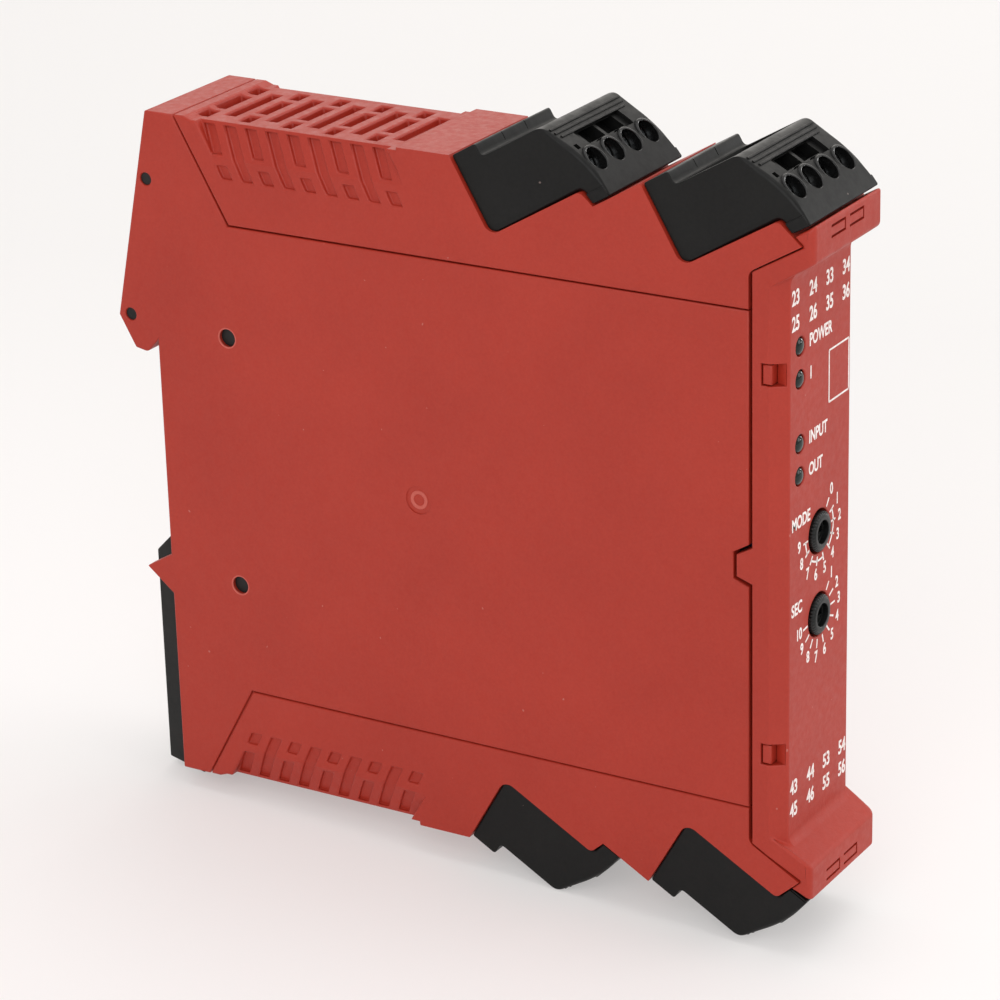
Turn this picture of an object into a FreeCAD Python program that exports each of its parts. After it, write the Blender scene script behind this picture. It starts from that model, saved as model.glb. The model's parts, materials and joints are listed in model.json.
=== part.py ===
import FreeCAD, Part
import math
import os

# A narrow rail module: hollow housing, four pull-off terminal plugs, two set dials and a rail latch.
# Working frame: X across the width, -Y forward from the rail's face, Z up from mid-height.
# Side views are drawn as (depth, level): depth runs forward from the rail's face, level up from mid-height.

# Overall size
module_width = 22.5
module_height = 120.54
rail_to_front = 111.7
wall = 2.2
seam_gap = 0.2
cap_gap = 0.5
past = 5.0

# Rail hook at the back
hook_reach = 7.1
hook_level = 21.2
hook_heel = (4.3, 16.2)
hook_lip = (2.1, 15.8)
hook_lip_radius = 0.9
rail_seat_level = 18.1

# Seams between base, covers and cap
seam_below_top = 16.3
seam_foot = 14.1
seam_head = 5.0
jog_length = 2.5
jog_top = 2.0
jog_bottom = -2.7

# Plug seats, drawn in their own frame: along the seat floor, above the seat floor
seat_tilt = 30.0
seat_pitch = 31.25
seat_radius = 1.8
floor_length = 17.3
shoulder_radius = 1.0
shoulder_length = 0.9
shoulder_drop = 2.7
nose_drop = 4.6
nose_radius = 1.5

# Vents in the covers, with levels counted down from the housing's top
vent_pitch = 3.74
vent_first = 8.5
vent_width = 1.9
vent_depth = 1.3
vent_sink = 0.5
vent_ramp = 1.4
vent_rear = 7.0
vent_to_seat = 9.1
mid_slot_half = 3.45
end_slot = (5.05, 8.15)
long_slot_half = 6.25
lean_height = 5.8
lean_inset = 1.65
lean_rear = 9.0
lean_to_vent_end = 1.9
side_slant = 25.0
side_slot_below = 1.0
side_slot_split = (5.2, 6.9)
side_slot_end = 8.9
side_slot_depth = 0.6

# Small holes in the left side
pin_hole_radius = 1.5
pin_hole_depth = 13.0
pin_hole_level = 20.35
core_hole_radius = 1.0
upper_core_hole = (0.55, 10.8)
lower_core_hole = (4.9, 0.3)

# Front cap, with depths counted back from the front panel
panel_sink = 4.25
cap_side_length = 5.65
panel_rise = 0.36
bevel_length = 2.45
bevel_inset = 1.65
lip_reach = 1.74
lip_drop = 2.85
lip_slope_height = 2.5
lip_inset = 0.4
lip_radius = 1.1
window_span = (3.75, 0.45)
window_level = 29.2
window_height = 3.3
tongue_setback = 2.15
tongue_thickness = 1.0
mark_height = 1.9
mark_width = 4.5
mark_line = 0.35
mark_sink = 0.25
mark_places = (-5.5, 0.3)
mark_rise = 0.65

# Terminal plug, drawn in the seat frame
plug_over_top = 5.77
plug_side_gap = 0.55
plug_gap = 0.25
plug_heel = 1.1
plug_toe_past = 4.1
plug_knee_past = 3.4
plug_knee_above = 1.6
plug_brow_past = 2.15
plug_brow_above = 4.9
plug_crest_short = 1.3
plug_crest_above = 10.6
plug_crest_radius = 1.0
bar_length = 4.6
bar_top = 12.75
bar_chamfer = 0.4
pole_side = 1.09
pole_count = 4
clamp_level = 3.1
screw_hole_radius = 1.95
test_pocket_half = 6.5
test_pocket = (5.5, 8.2)
test_pocket_sink = 0.7
test_window_near = 0.35
test_window_far = 5.1
test_window_low = 5.8
test_window_high = 7.8
test_window_sink = 3.0

# Metal inside each pole of a plug
cage_rear = 7.6
cage_front = 12.6
cage_half_width = 2.0
cage_half_height = 2.4
cage_sheet = 1.0
cage_clearance = 0.15
entry_half_width = 1.8
contact_half = 1.15
contact_start = 0.8
contact_clearance = 0.15
contact_touch = 0.02

# Pin headers behind the seats
pin_side = 1.0
pin_reach = 6.5
header_flange = 3.0
header_side_gap = 0.15
header_half_height = 2.1
header_lip = 0.3
header_clearance = 0.2
pin_leg_first = 7.1
pin_leg_spacing = 2.2

# Boards and the parts on them
board_thickness = 1.6
board_margin = 0.5
board_below_seam = 0.3
panel_board_setback = 10.55
panel_board_side_gap = 0.65
panel_board_below_seam = 0.7
relay_length = 28.0
relay_height = 26.0
relay_side_gap = 0.93
relay_rear = 18.0
relay_level = 19.0
capacitor_size = (11.0, 6.0, 13.0)
capacitor_places = ((56.0, 16.0), (56.0, -16.0), (66.0, 16.0))
chip_size = (1.4, 10.0, 10.0)
chip_places = ((72.0, 16.0), (72.0, -16.0))

# Status lights
light_guide_side = 2.9
light_hole_radius = 1.45
light_inset = 3.3
power_light_height = 32.4
light_pitch = 4.9
light_group_gap = 9.7

# Set dials
dial_radius = 3.05
dial_hole_radius = 3.4
dial_proud = 0.8
dial_length = 4.05
dial_slot = 0.9
dial_slot_length = 3.6
dial_slot_sink = 0.9
switch_half_width = 4.5
switch_half_height = 5.0
switch_gap = 0.3
range_dial_level = 2.3
time_dial_level = -10.7

# Rail latch and its guides, with lower levels counted from the housing's underside
latch_half_width = 6.35
latch_gap = 0.3
latch_rear = 6.3
latch_top = -16.9
latch_chamfer = (3.6, 19.7)
latch_notch = (1.5, 18.8)
latch_foot_below = 1.5
latch_tab_below = 3.1
latch_tab_root_below = 0.4
latch_tab_front = 0.4
latch_slot_half = 3.0
latch_slot_above = (0.5, 3.0)
flange_width = 1.3
flange_thickness = 1.5
flange_top = -30.0
flange_above = 7.5
guide_clearance = 0.3
guide_top = -26.5
guide_above = 2.0
guide_post = 1.3
guide_lip_thickness = 1.2
spike_top = -17.65
spike_tip = (4.75, -20.4)
spike_bottom = -24.2

# Widths that follow from the ones above
half_width = module_width / 2
inner_half = half_width - wall
plug_half_width = half_width - plug_side_gap
panel_half_width = half_width - bevel_inset
lip_half_width = half_width - lip_inset
header_half_width = inner_half - header_side_gap - header_lip
panel_board_half_width = inner_half - panel_board_side_gap
light_x = light_inset - panel_half_width
pole_pitch = (module_width - 2 * pole_side) / pole_count
pole_places = [pole_pitch * (index - (pole_count - 1) / 2) for index in range(pole_count)]
board_face = (pole_places[0] + pole_places[1] + board_thickness) / 2
board_back = board_face - board_thickness

# Levels that follow
state_light_height = power_light_height - light_pitch
input_light_height = state_light_height - light_group_gap
output_light_height = input_light_height - light_pitch
light_heights = {
    "power": power_light_height,
    "state": state_light_height,
    "input": input_light_height,
    "output": output_light_height,
}
seat_cos = math.cos(math.radians(seat_tilt))
seat_sin = math.sin(math.radians(seat_tilt))
plug_toe = floor_length + plug_toe_past
plug_knee = (floor_length + plug_knee_past, plug_knee_above)
plug_brow = (floor_length + plug_brow_past, plug_brow_above)
plug_crest = (floor_length - plug_crest_short, plug_crest_above)
crest_turn = math.atan2(plug_crest[1] - plug_brow[1], plug_brow[0] - plug_crest[0])
crest_centre = plug_crest[0] - plug_crest_radius * math.tan(crest_turn / 2)
crest_rise = crest_centre * seat_sin + (plug_crest[1] - plug_crest_radius) * seat_cos + plug_crest_radius
seat_level = module_height / 2 - crest_rise
top_level = module_height / 2 - plug_over_top
seam_level = top_level - seam_below_top
lean_level = top_level - lean_height
panel_half_height = seat_level + panel_rise
lip_bottom = panel_half_height + lip_slope_height
wall_rise = (top_level - seat_level) / seat_cos
nose_length = shoulder_length * nose_drop / shoulder_drop

# Depths that follow
nose_depth = (floor_length + nose_length) * seat_cos + nose_drop * seat_sin
front_seat_depth = rail_to_front - lip_reach - nose_depth
rear_seat_depth = front_seat_depth - seat_pitch
vent_front = rear_seat_depth - wall_rise * seat_sin - vent_to_seat
vent_columns = int((vent_front - vent_first) / vent_pitch) + 1
panel_depth = rail_to_front - panel_sink
cap_seam = panel_depth - cap_side_length
jog_depth = cap_seam - jog_length
bevel_start = panel_depth - bevel_length
window_rear = panel_depth - window_span[0]
window_front = panel_depth - window_span[1]
tongue_front = panel_depth - tongue_setback
panel_board_rear = panel_depth - panel_board_setback
panel_board_front = panel_board_rear + board_thickness
board_front = panel_board_rear - board_margin
tongue_root = panel_board_front + board_margin
dial_back = panel_depth - dial_length
frame_offset = FreeCAD.Vector(0, (rail_to_front + hook_reach) / 2 - hook_reach, module_height / 2)


def outline_face(corners):
    # Face in the plane X = 0 through (depth, level, radius) corners, rounded where a radius is given.
    points = [FreeCAD.Vector(0, -depth, level) for depth, level, radius in corners]
    starts = []
    ends = []
    arcs = []
    for index, corner in enumerate(corners):
        radius = corner[2]
        here = points[index]
        if radius == 0:
            starts.append(here)
            ends.append(here)
            arcs.append(None)
            continue
        back = (points[index - 1] - here).normalize()
        ahead = (points[(index + 1) % len(points)] - here).normalize()
        half_angle = back.getAngle(ahead) / 2
        reach = radius / math.tan(half_angle)
        inward = (back + ahead).normalize()
        middle = here + inward * (radius / math.sin(half_angle) - radius)
        starts.append(here + back * reach)
        ends.append(here + ahead * reach)
        arcs.append(Part.Arc(starts[-1], middle, ends[-1]).toShape())
    edges = []
    for index, arc in enumerate(arcs):
        if arc is not None:
            edges.append(arc)
        edges.append(Part.makeLine(ends[index], starts[(index + 1) % len(starts)]))
    return Part.Face(Part.Wire(edges))


def slab(corners, left, right):
    # Side-view outline carried across the width from left to right.
    face = outline_face(corners)
    face.translate(FreeCAD.Vector(left, 0, 0))
    return face.extrude(FreeCAD.Vector(right - left, 0, 0))


def block(left, right, rear, front, low, high):
    size = (right - left, front - rear, high - low)
    return Part.makeBox(size[0], size[1], size[2], FreeCAD.Vector(left, -front, low))


def rod(radius, x, level, rear, front):
    # Round bar along the depth.
    start = FreeCAD.Vector(x, -rear, level)
    return Part.makeCylinder(radius, front - rear, start, FreeCAD.Vector(0, -1, 0))


def cross_rod(radius, depth, level, left, right):
    # Round bar across the width.
    start = FreeCAD.Vector(left, -depth, level)
    return Part.makeCylinder(radius, right - left, start, FreeCAD.Vector(1, 0, 0))


def flipped(shape):
    # Copy turned over about mid-height.
    return shape.mirror(FreeCAD.Vector(0, 0, 0), FreeCAD.Vector(0, 0, 1))


def on_both_sides(shape):
    # The shape with its copy across the width.
    return [shape, shape.mirror(FreeCAD.Vector(0, 0, 0), FreeCAD.Vector(1, 0, 0))]


def seated(shape, seat_depth):
    # Shape drawn in the seat frame, turned and moved onto a seat of the upper row.
    turn = FreeCAD.Rotation(FreeCAD.Vector(1, 0, 0), -seat_tilt)
    placed = shape.copy()
    placed.Placement = FreeCAD.Placement(FreeCAD.Vector(0, -seat_depth, seat_level), turn)
    return placed


def seat_point(seat_depth, along, above, radius=0):
    # Side-view corner given in the seat frame.
    depth = seat_depth + along * seat_cos - above * seat_sin
    level = seat_level + along * seat_sin + above * seat_cos
    return (depth, level, radius)


def nose_point(drop, depth):
    # Point of the line that runs below the front seat floor, where it reaches a depth.
    along = (depth - front_seat_depth - drop * seat_sin) / seat_cos
    return seat_point(front_seat_depth, along, -drop)


def both_halves(upper):
    # Outline of the upper half followed by its reflection.
    return upper + [(depth, -level, radius) for depth, level, radius in reversed(upper)]


def cavity():
    # Inside space of the housing, one wall thickness within the outline.
    rim = top_level - wall
    seat_edge = floor_length - wall
    below = -wall - shoulder_drop
    upper = [
        (wall, rail_seat_level + wall, 0),
        (wall - hook_reach + wall, hook_level + wall, 0),
        (wall, rim, 0),
        seat_point(rear_seat_depth, -wall, (rim - seat_level + wall * seat_sin) / seat_cos),
        seat_point(rear_seat_depth, -wall, -wall),
        seat_point(rear_seat_depth, seat_edge, -wall),
        seat_point(rear_seat_depth, seat_edge + shoulder_length, below),
        seat_point(rear_seat_depth, seat_pitch * seat_cos - wall, below),
        seat_point(front_seat_depth, -wall, -wall),
        seat_point(front_seat_depth, wall * 2, -wall),
        (cap_seam - wall, panel_half_height - wall, 0),
        (panel_depth - wall, panel_half_height - wall, 0),
    ]
    return slab(both_halves(upper), -inner_half, inner_half)


def hook_outline():
    # Rear of the base from the upper corner down round the rail hook to the rail's face.
    return [
        (0, top_level, 0),
        (-hook_reach, hook_level, 0),
        (-hook_heel[0], hook_heel[1], 0),
        (-hook_lip[0], hook_lip[1], hook_lip_radius),
        (0, rail_seat_level, 0),
    ]


def base_outline():
    front = cap_seam
    jog = [(front, jog_top, 0), (jog_depth, jog_top, 0), (jog_depth, jog_bottom, 0), (front, jog_bottom, 0)]
    upper = [(seam_head, top_level, 0), (seam_foot, seam_level, 0), (front, seam_level, 0)]
    lower = [(depth, -level, radius) for depth, level, radius in upper]
    return hook_outline() + [(0, -top_level, 0)] + lower + jog[::-1] + upper[::-1]


def latch_guides():
    # Two channels on the rear wall that hold the flanges of the latch.
    reach = latch_gap + flange_thickness + guide_clearance
    post_inner = latch_half_width + flange_width + guide_clearance
    lip_inner = latch_half_width + guide_clearance
    rear = -reach - guide_lip_thickness
    low = guide_above - top_level
    post = block(post_inner, post_inner + guide_post, rear, 0, low, guide_top)
    lip = block(lip_inner, post_inner, rear, -reach, low, guide_top)
    return on_both_sides(post.fuse(lip))


def cap_tongue(level):
    # Snap tongue that reaches from a side wall of the base into a window of the cap.
    low = level - window_height / 2 + seam_gap
    high = level + window_height / 2 - seam_gap
    outer = inner_half - seam_gap
    inner = outer - tongue_thickness
    strip = block(inner, outer, tongue_root, tongue_front, low, high)
    root = block(inner, inner_half, tongue_root, cap_seam - cap_gap, low, high)
    catch = block(inner, half_width - seam_gap, window_rear + seam_gap, tongue_front, low, high)
    return strip.fuse([root, catch])


def make_base():
    base = slab(base_outline(), -half_width, half_width).cut(cavity())
    spike = [(0, spike_top, 0), (-spike_tip[0], spike_tip[1], 0), (0, spike_bottom, 0)]
    added = on_both_sides(slab(spike, inner_half, half_width)) + latch_guides()
    for level in (window_level, -window_level):
        added += on_both_sides(cap_tongue(level))
    base = base.fuse(added)
    outside = -past - half_width
    holes = [
        cross_rod(core_hole_radius, -upper_core_hole[0], top_level - upper_core_hole[1], outside, 0),
        cross_rod(core_hole_radius, -lower_core_hole[0], hook_level + lower_core_hole[1], outside, 0),
        cross_rod(pin_hole_radius, pin_hole_depth, pin_hole_level, outside, 0),
        cross_rod(pin_hole_radius, pin_hole_depth, -pin_hole_level, outside, 0),
    ]
    return base.cut(holes).removeSplitter()


def cover_outline():
    tooth = seat_pitch * seat_cos
    nose = nose_point(nose_drop, cap_seam)
    return [
        (seam_head + seam_gap, top_level, 0),
        seat_point(rear_seat_depth, 0, wall_rise),
        seat_point(rear_seat_depth, 0, 0, seat_radius),
        seat_point(rear_seat_depth, floor_length, 0, shoulder_radius),
        seat_point(rear_seat_depth, floor_length + shoulder_length, -shoulder_drop),
        seat_point(rear_seat_depth, tooth, -shoulder_drop),
        seat_point(front_seat_depth, 0, 0, seat_radius),
        seat_point(front_seat_depth, floor_length, 0, shoulder_radius),
        seat_point(front_seat_depth, floor_length + nose_length, -nose_drop),
        (nose[0], nose[1], nose_radius),
        (cap_seam, seam_level + seam_gap, 0),
        (seam_foot + seam_gap, seam_level + seam_gap, 0),
    ]


def top_vents():
    # Sunk field on the cover's top with staggered blind slots.
    bed = top_level - vent_sink
    over = top_level + past
    field = [
        (vent_rear, top_level, 0),
        (vent_rear + vent_ramp, bed, 0),
        (vent_front, bed, 0),
        (vent_front, over, 0),
        (vent_rear, over, 0),
    ]
    cuts = [slab(field, -past - half_width, past + half_width)]
    short_slots = (
        (-end_slot[1], -end_slot[0]),
        (-mid_slot_half, mid_slot_half),
        (end_slot[0], end_slot[1]),
    )
    for column in range(vent_columns):
        rear = vent_first + vent_pitch * column - vent_width / 2
        slots = short_slots if column % 2 == 0 else ((-long_slot_half, long_slot_half),)
        for left, right in slots:
            cuts.append(block(left, right, rear, rear + vent_width, bed - vent_depth, over))
    return cuts


def side_lean():
    # Wedge taken off beside the vents so that the side leans in toward the top.
    section = [
        FreeCAD.Vector(half_width, 0, lean_level),
        FreeCAD.Vector(half_width + past, 0, lean_level),
        FreeCAD.Vector(half_width + past, 0, top_level + past),
        FreeCAD.Vector(half_width - lean_inset, 0, top_level + past),
        FreeCAD.Vector(half_width - lean_inset, 0, top_level),
    ]
    face = Part.Face(Part.makePolygon(section + section[:1]))
    wedge = face.extrude(FreeCAD.Vector(0, -rear_seat_depth, 0))
    slope = math.tan(math.radians(seat_tilt))
    foot = (top_level - lean_level) * slope
    head = past * slope
    extent = [
        (lean_rear + foot, lean_level, 0),
        (lean_rear - head, top_level + past, 0),
        (vent_front - lean_to_vent_end - head, top_level + past, 0),
        (vent_front - lean_to_vent_end + foot, lean_level, 0),
    ]
    return wedge.common(slab(extent, 0, half_width + past))


def side_slot(column, begin, finish):
    # Slanted blind slot in the right side, between two distances below the housing's top.
    slope = math.tan(math.radians(side_slant))
    middle = vent_first + vent_pitch * (column + 0.5)
    upper = middle + begin * slope
    lower = middle + finish * slope
    half = vent_width / 2
    high = top_level - begin
    low = top_level - finish
    corners = [
        (upper - half, high, 0),
        (upper + half, high, 0),
        (lower + half, low, 0),
        (lower - half, low, 0),
    ]
    reach = slab(corners, half_width - lean_inset - side_slot_depth, half_width + past)
    floor_level = low - past
    deep = half_width - side_slot_depth
    bend = [
        FreeCAD.Vector(deep, 0, floor_level),
        FreeCAD.Vector(deep, 0, lean_level),
        FreeCAD.Vector(deep - lean_inset, 0, top_level),
        FreeCAD.Vector(half_width + past, 0, top_level),
        FreeCAD.Vector(half_width + past, 0, floor_level),
    ]
    outside = Part.Face(Part.makePolygon(bend + bend[:1])).extrude(FreeCAD.Vector(0, -rear_seat_depth, 0))
    return reach.common(outside)


def side_vents():
    cuts = []
    for column in range(vent_columns - 1):
        if column % 2 == 0:
            cuts.append(side_slot(column, side_slot_below, side_slot_split[0]))
            cuts.append(side_slot(column, side_slot_split[1], side_slot_end))
        else:
            cuts.append(side_slot(column, side_slot_below, side_slot_end))
    return cuts


def header_window():
    # Opening through the back wall of a seat for the front of a pin header.
    reach = header_half_width + header_clearance
    rise = header_half_height + header_clearance
    return block(-reach, reach, -wall - past, plug_gap, clamp_level - rise, clamp_level + rise)


def make_cover():
    cover = slab(cover_outline(), -half_width, half_width).cut(cavity())
    cuts = top_vents()
    for piece in [side_lean()] + side_vents():
        cuts += on_both_sides(piece)
    for seat_depth in (rear_seat_depth, front_seat_depth):
        cuts.append(seated(header_window(), seat_depth))
    return cover.cut(cuts).removeSplitter()


def cap_outline():
    rear = cap_seam + cap_gap
    drop = nose_drop + seam_gap
    step = floor_length + nose_length + seam_gap
    root = nose_point(drop, rear)
    edge = nose_point(lip_drop, rail_to_front)
    upper = [
        (rear, root[1], 0),
        seat_point(front_seat_depth, step, -drop),
        seat_point(front_seat_depth, step - (drop - lip_drop) * shoulder_length / shoulder_drop, -lip_drop),
        edge,
        (rail_to_front, lip_bottom, 0),
        (panel_depth, panel_half_height, 0),
    ]
    tab = jog_depth + cap_gap
    low = jog_bottom + cap_gap
    high = jog_top - cap_gap
    jog = [(rear, low, 0), (tab, low, 0), (tab, high, 0), (rear, high, 0)]
    lower = [(depth, -level, radius) for depth, level, radius in reversed(upper)]
    return upper + lower + jog


def cap_plan():
    # Top view of the cap: sides that draw in toward the rounded front edges of the lips.
    front = rail_to_front
    inset = half_width - lip_half_width
    straight = math.hypot(front - bevel_start, inset)
    turn = math.atan2(front - bevel_start, inset)
    reach = lip_radius / math.tan((math.pi - turn) / 2)
    side_end = (lip_half_width + inset * reach / straight, front - (front - bevel_start) * reach / straight)
    front_end = (lip_half_width - reach, front)
    centre = (front_end[0], front - lip_radius)
    half_turn = turn / 2
    middle = (centre[0] + lip_radius * math.sin(half_turn), centre[1] + lip_radius * math.cos(half_turn))
    right = [(half_width, jog_depth - past), (half_width, bevel_start), side_end, middle, front_end]
    points = [FreeCAD.Vector(x, -depth, 0) for x, depth in right]
    mirrored = [FreeCAD.Vector(-point.x, point.y, 0) for point in points]
    edges = [
        Part.makeLine(points[0], points[1]),
        Part.makeLine(points[1], points[2]),
        Part.Arc(points[2], points[3], points[4]).toShape(),
        Part.makeLine(points[4], mirrored[4]),
        Part.Arc(mirrored[4], mirrored[3], mirrored[2]).toShape(),
        Part.makeLine(mirrored[2], mirrored[1]),
        Part.makeLine(mirrored[1], mirrored[0]),
        Part.makeLine(mirrored[0], points[0]),
    ]
    face = Part.Face(Part.Wire(edges))
    face.translate(FreeCAD.Vector(0, 0, -module_height / 2))
    return face.extrude(FreeCAD.Vector(0, 0, module_height))


def cap_bevel():
    # Wedge taken off the side of the cap beside the panel, with ends that follow the lips.
    slope = (half_width - panel_half_width) / (panel_depth - bevel_start)
    reach = past * slope
    section = [
        FreeCAD.Vector(half_width, -bevel_start, 0),
        FreeCAD.Vector(half_width + past, -bevel_start, 0),
        FreeCAD.Vector(half_width + past, -panel_depth - past, 0),
        FreeCAD.Vector(panel_half_width - reach, -panel_depth - past, 0),
    ]
    face = Part.Face(Part.makePolygon(section + section[:1]))
    face.translate(FreeCAD.Vector(0, 0, -panel_half_height))
    wedge = face.extrude(FreeCAD.Vector(0, 0, 2 * panel_half_height))
    spread = (lip_bottom - panel_half_height) / (rail_to_front - panel_depth)
    foot = panel_half_height - (panel_depth - bevel_start) * spread
    extent = [(bevel_start, foot, 0), (panel_depth, panel_half_height, 0)]
    outer = [(panel_depth + past, panel_half_height, 0)]
    return wedge.common(slab(both_halves(extent + outer), 0, half_width + past))


def bracket_mark(x, level):
    # Three-sided bracket engraved in the front of a lip.
    floor = rail_to_front - mark_sink
    left = x
    right = x + mark_width
    low = level - mark_height / 2
    high = level + mark_height / 2
    outer = block(left, right, floor, rail_to_front + past, low, high)
    inner = block(left - past, right - mark_line, floor, rail_to_front + past,
                  low + mark_line, high - mark_line)
    return outer.cut(inner)


def make_cap():
    cap = slab(cap_outline(), -half_width, half_width).common(cap_plan()).cut(cavity())
    cuts = on_both_sides(cap_bevel())
    low = window_level - window_height / 2
    high = window_level + window_height / 2
    window = block(inner_half - past, half_width + past, window_rear, window_front, low, high)
    cuts += on_both_sides(window) + on_both_sides(flipped(window))
    for level in light_heights.values():
        cuts.append(rod(light_hole_radius, light_x, level, panel_depth - past, panel_depth + past))
    for level in (range_dial_level, time_dial_level):
        cuts.append(rod(dial_hole_radius, 0, level, panel_depth - past, panel_depth + past))
    mark_level = (lip_bottom + nose_point(lip_drop, rail_to_front)[1]) / 2 + mark_rise
    for x in mark_places:
        for level in (mark_level, -mark_level):
            cuts.append(bracket_mark(x, level))
    return cap.cut(cuts).removeSplitter()


def plug_outline():
    step = floor_length + plug_gap
    return [
        (plug_gap, plug_gap + plug_heel, 0),
        (plug_gap + plug_heel, plug_gap, 0),
        (step, plug_gap, 0),
        (step + shoulder_length, plug_gap - shoulder_drop, 0),
        (plug_toe, plug_gap - shoulder_drop, 0),
        (plug_knee[0], plug_knee[1], 0),
        (plug_brow[0], plug_brow[1], 0),
        (plug_crest[0], plug_crest[1], plug_crest_radius),
        (bar_length, plug_crest[1], 0),
        (bar_length, bar_top, 0),
        (plug_gap + bar_chamfer, bar_top, 0),
        (plug_gap, bar_top - bar_chamfer, 0),
    ]


def brow_front(above):
    # Where the upper slope of the plug's front lies at a height above the seat floor.
    share = (above - plug_brow[1]) / (plug_crest[1] - plug_brow[1])
    return plug_brow[0] + (plug_crest[0] - plug_brow[0]) * share


def front_cut(left, right, low, high, sink):
    # Pocket that follows the upper slope of the plug's front.
    front = plug_toe + past
    corners = [
        (brow_front(low) - sink, low, 0),
        (front, low, 0),
        (front, high, 0),
        (brow_front(high) - sink, high, 0),
    ]
    return slab(corners, left, right)


def pole_chamber(x):
    # Room for the metal of one pole: clamp, screw, wire and pin.
    wide = cage_half_width + cage_clearance
    tall = cage_half_height + cage_clearance
    room = block(x - wide, x + wide, cage_rear, cage_front + cage_clearance,
                 clamp_level - tall, clamp_level + tall)
    entry = block(x - entry_half_width, x + entry_half_width,
                  cage_rear + cage_sheet, cage_front - cage_sheet, clamp_level, bar_top)
    narrow = contact_half + contact_clearance
    socket = block(x - narrow, x + narrow, -past, cage_rear, clamp_level - narrow, clamp_level + narrow)
    screw = rod(screw_hole_radius, x, clamp_level, cage_front, plug_toe + past)
    return [room, entry, socket, screw]


def make_plug():
    plug = slab(plug_outline(), -plug_half_width, plug_half_width)
    cuts = [front_cut(-test_pocket_half, test_pocket_half, test_pocket[0], test_pocket[1], test_pocket_sink)]
    window = front_cut(test_window_near, test_window_far, test_window_low, test_window_high, test_window_sink)
    cuts += on_both_sides(window)
    for x in pole_places:
        cuts += pole_chamber(x)
    return plug.cut(cuts).removeSplitter()


def make_cage(x):
    low = clamp_level - cage_half_height
    high = clamp_level + cage_half_height
    body = block(x - cage_half_width, x + cage_half_width, cage_rear, cage_front, low, high)
    reach = cage_half_width - cage_sheet / 2
    window = block(x - reach, x + reach, cage_rear + cage_sheet, cage_front - cage_sheet,
                   low - past, high + past)
    return body.cut(window)


def make_contact(x):
    # Leaf that lies along one side of the pin and ends at the cage.
    near = x + pin_side / 2 + contact_touch
    return block(near, x + contact_half, contact_start, cage_rear,
                 clamp_level - contact_half, clamp_level + contact_half)


def pin_leg(index):
    # How far behind the seat's back wall each pin turns toward the board.
    return pin_leg_first + pin_leg_spacing * max(0, index - 1)


def make_pin(index):
    # Square pin with a leg that turns across to the face of the board.
    x = pole_places[index]
    half = pin_side / 2
    rear = -pin_leg(index) - half
    low = clamp_level - half
    high = clamp_level + half
    shaft = block(x - half, x + half, rear, pin_reach, low, high)
    if x < board_back:
        leg = block(x - half, board_back, rear, rear + pin_side, low, high)
    else:
        leg = block(board_face, x + half, rear, rear + pin_side, low, high)
    return shaft.fuse(leg).removeSplitter()


def make_header():
    front = -seam_gap
    shoulder = -wall - seam_gap
    rear = shoulder - header_flange
    nose = block(-header_half_width, header_half_width, shoulder, front,
                 clamp_level - header_half_height, clamp_level + header_half_height)
    reach = header_half_width + header_lip
    rise = header_half_height + header_lip * 2
    flange = block(-reach, reach, rear, shoulder, clamp_level - rise, clamp_level + rise)
    half = pin_side / 2
    holes = [block(x - half, x + half, rear - past, past, clamp_level - half, clamp_level + half)
             for x in pole_places]
    return nose.fuse(flange).cut(holes).removeSplitter()


def make_main_board():
    # Board outline that keeps clear of the seats and the headers.
    behind = -wall - seam_gap - header_flange - board_margin
    rim = top_level - wall - board_margin
    under = seam_level - board_below_seam
    above = (rim - seat_level - behind * seat_sin) / seat_cos
    below = (under - seat_level - behind * seat_sin) / seat_cos
    upper = [
        (wall + board_margin, rim, 0),
        seat_point(rear_seat_depth, behind, above),
        seat_point(rear_seat_depth, behind, below),
        (seat_point(front_seat_depth, behind * 2, 0)[0], under, 0),
        seat_point(front_seat_depth, behind * 2, clamp_level * 2),
        seat_point(front_seat_depth, behind, clamp_level * 2),
        seat_point(front_seat_depth, behind, -wall),
        (board_front, under, 0),
    ]
    return slab(both_halves(upper), board_back, board_face)


def make_panel_board():
    return block(-panel_board_half_width, panel_board_half_width, panel_board_rear, panel_board_front,
                 panel_board_below_seam - seam_level, seam_level - panel_board_below_seam)


def make_relay(level):
    half = relay_height / 2
    return block(board_face, inner_half - relay_side_gap, relay_rear, relay_rear + relay_length,
                 level - half, level + half)


def make_capacitor(depth, level):
    return block(board_face, board_face + capacitor_size[0], depth, depth + capacitor_size[1],
                 level - capacitor_size[2] / 2, level + capacitor_size[2] / 2)


def make_chip(depth, level):
    return block(board_back - chip_size[0], board_back, depth, depth + chip_size[1],
                 level - chip_size[2] / 2, level + chip_size[2] / 2)


def make_light(level):
    # Square light guide from the board to the back of its round hole in the panel.
    half = light_guide_side / 2
    return block(light_x - half, light_x + half, panel_board_front, panel_depth - wall,
                 level - half, level + half)


def make_dial(level):
    # Round knob with a straight slot for a screwdriver.
    front = panel_depth + dial_proud
    knob = rod(dial_radius, 0, level, dial_back, front)
    reach = dial_slot_length / 2
    half = dial_slot / 2
    slot = block(-reach, reach, front - dial_slot_sink, front + past, level - half, level + half)
    return knob.cut(slot)


def make_switch(level):
    return block(-switch_half_width, switch_half_width, panel_board_front, dial_back - switch_gap,
                 level - switch_half_height, level + switch_half_height)


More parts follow.
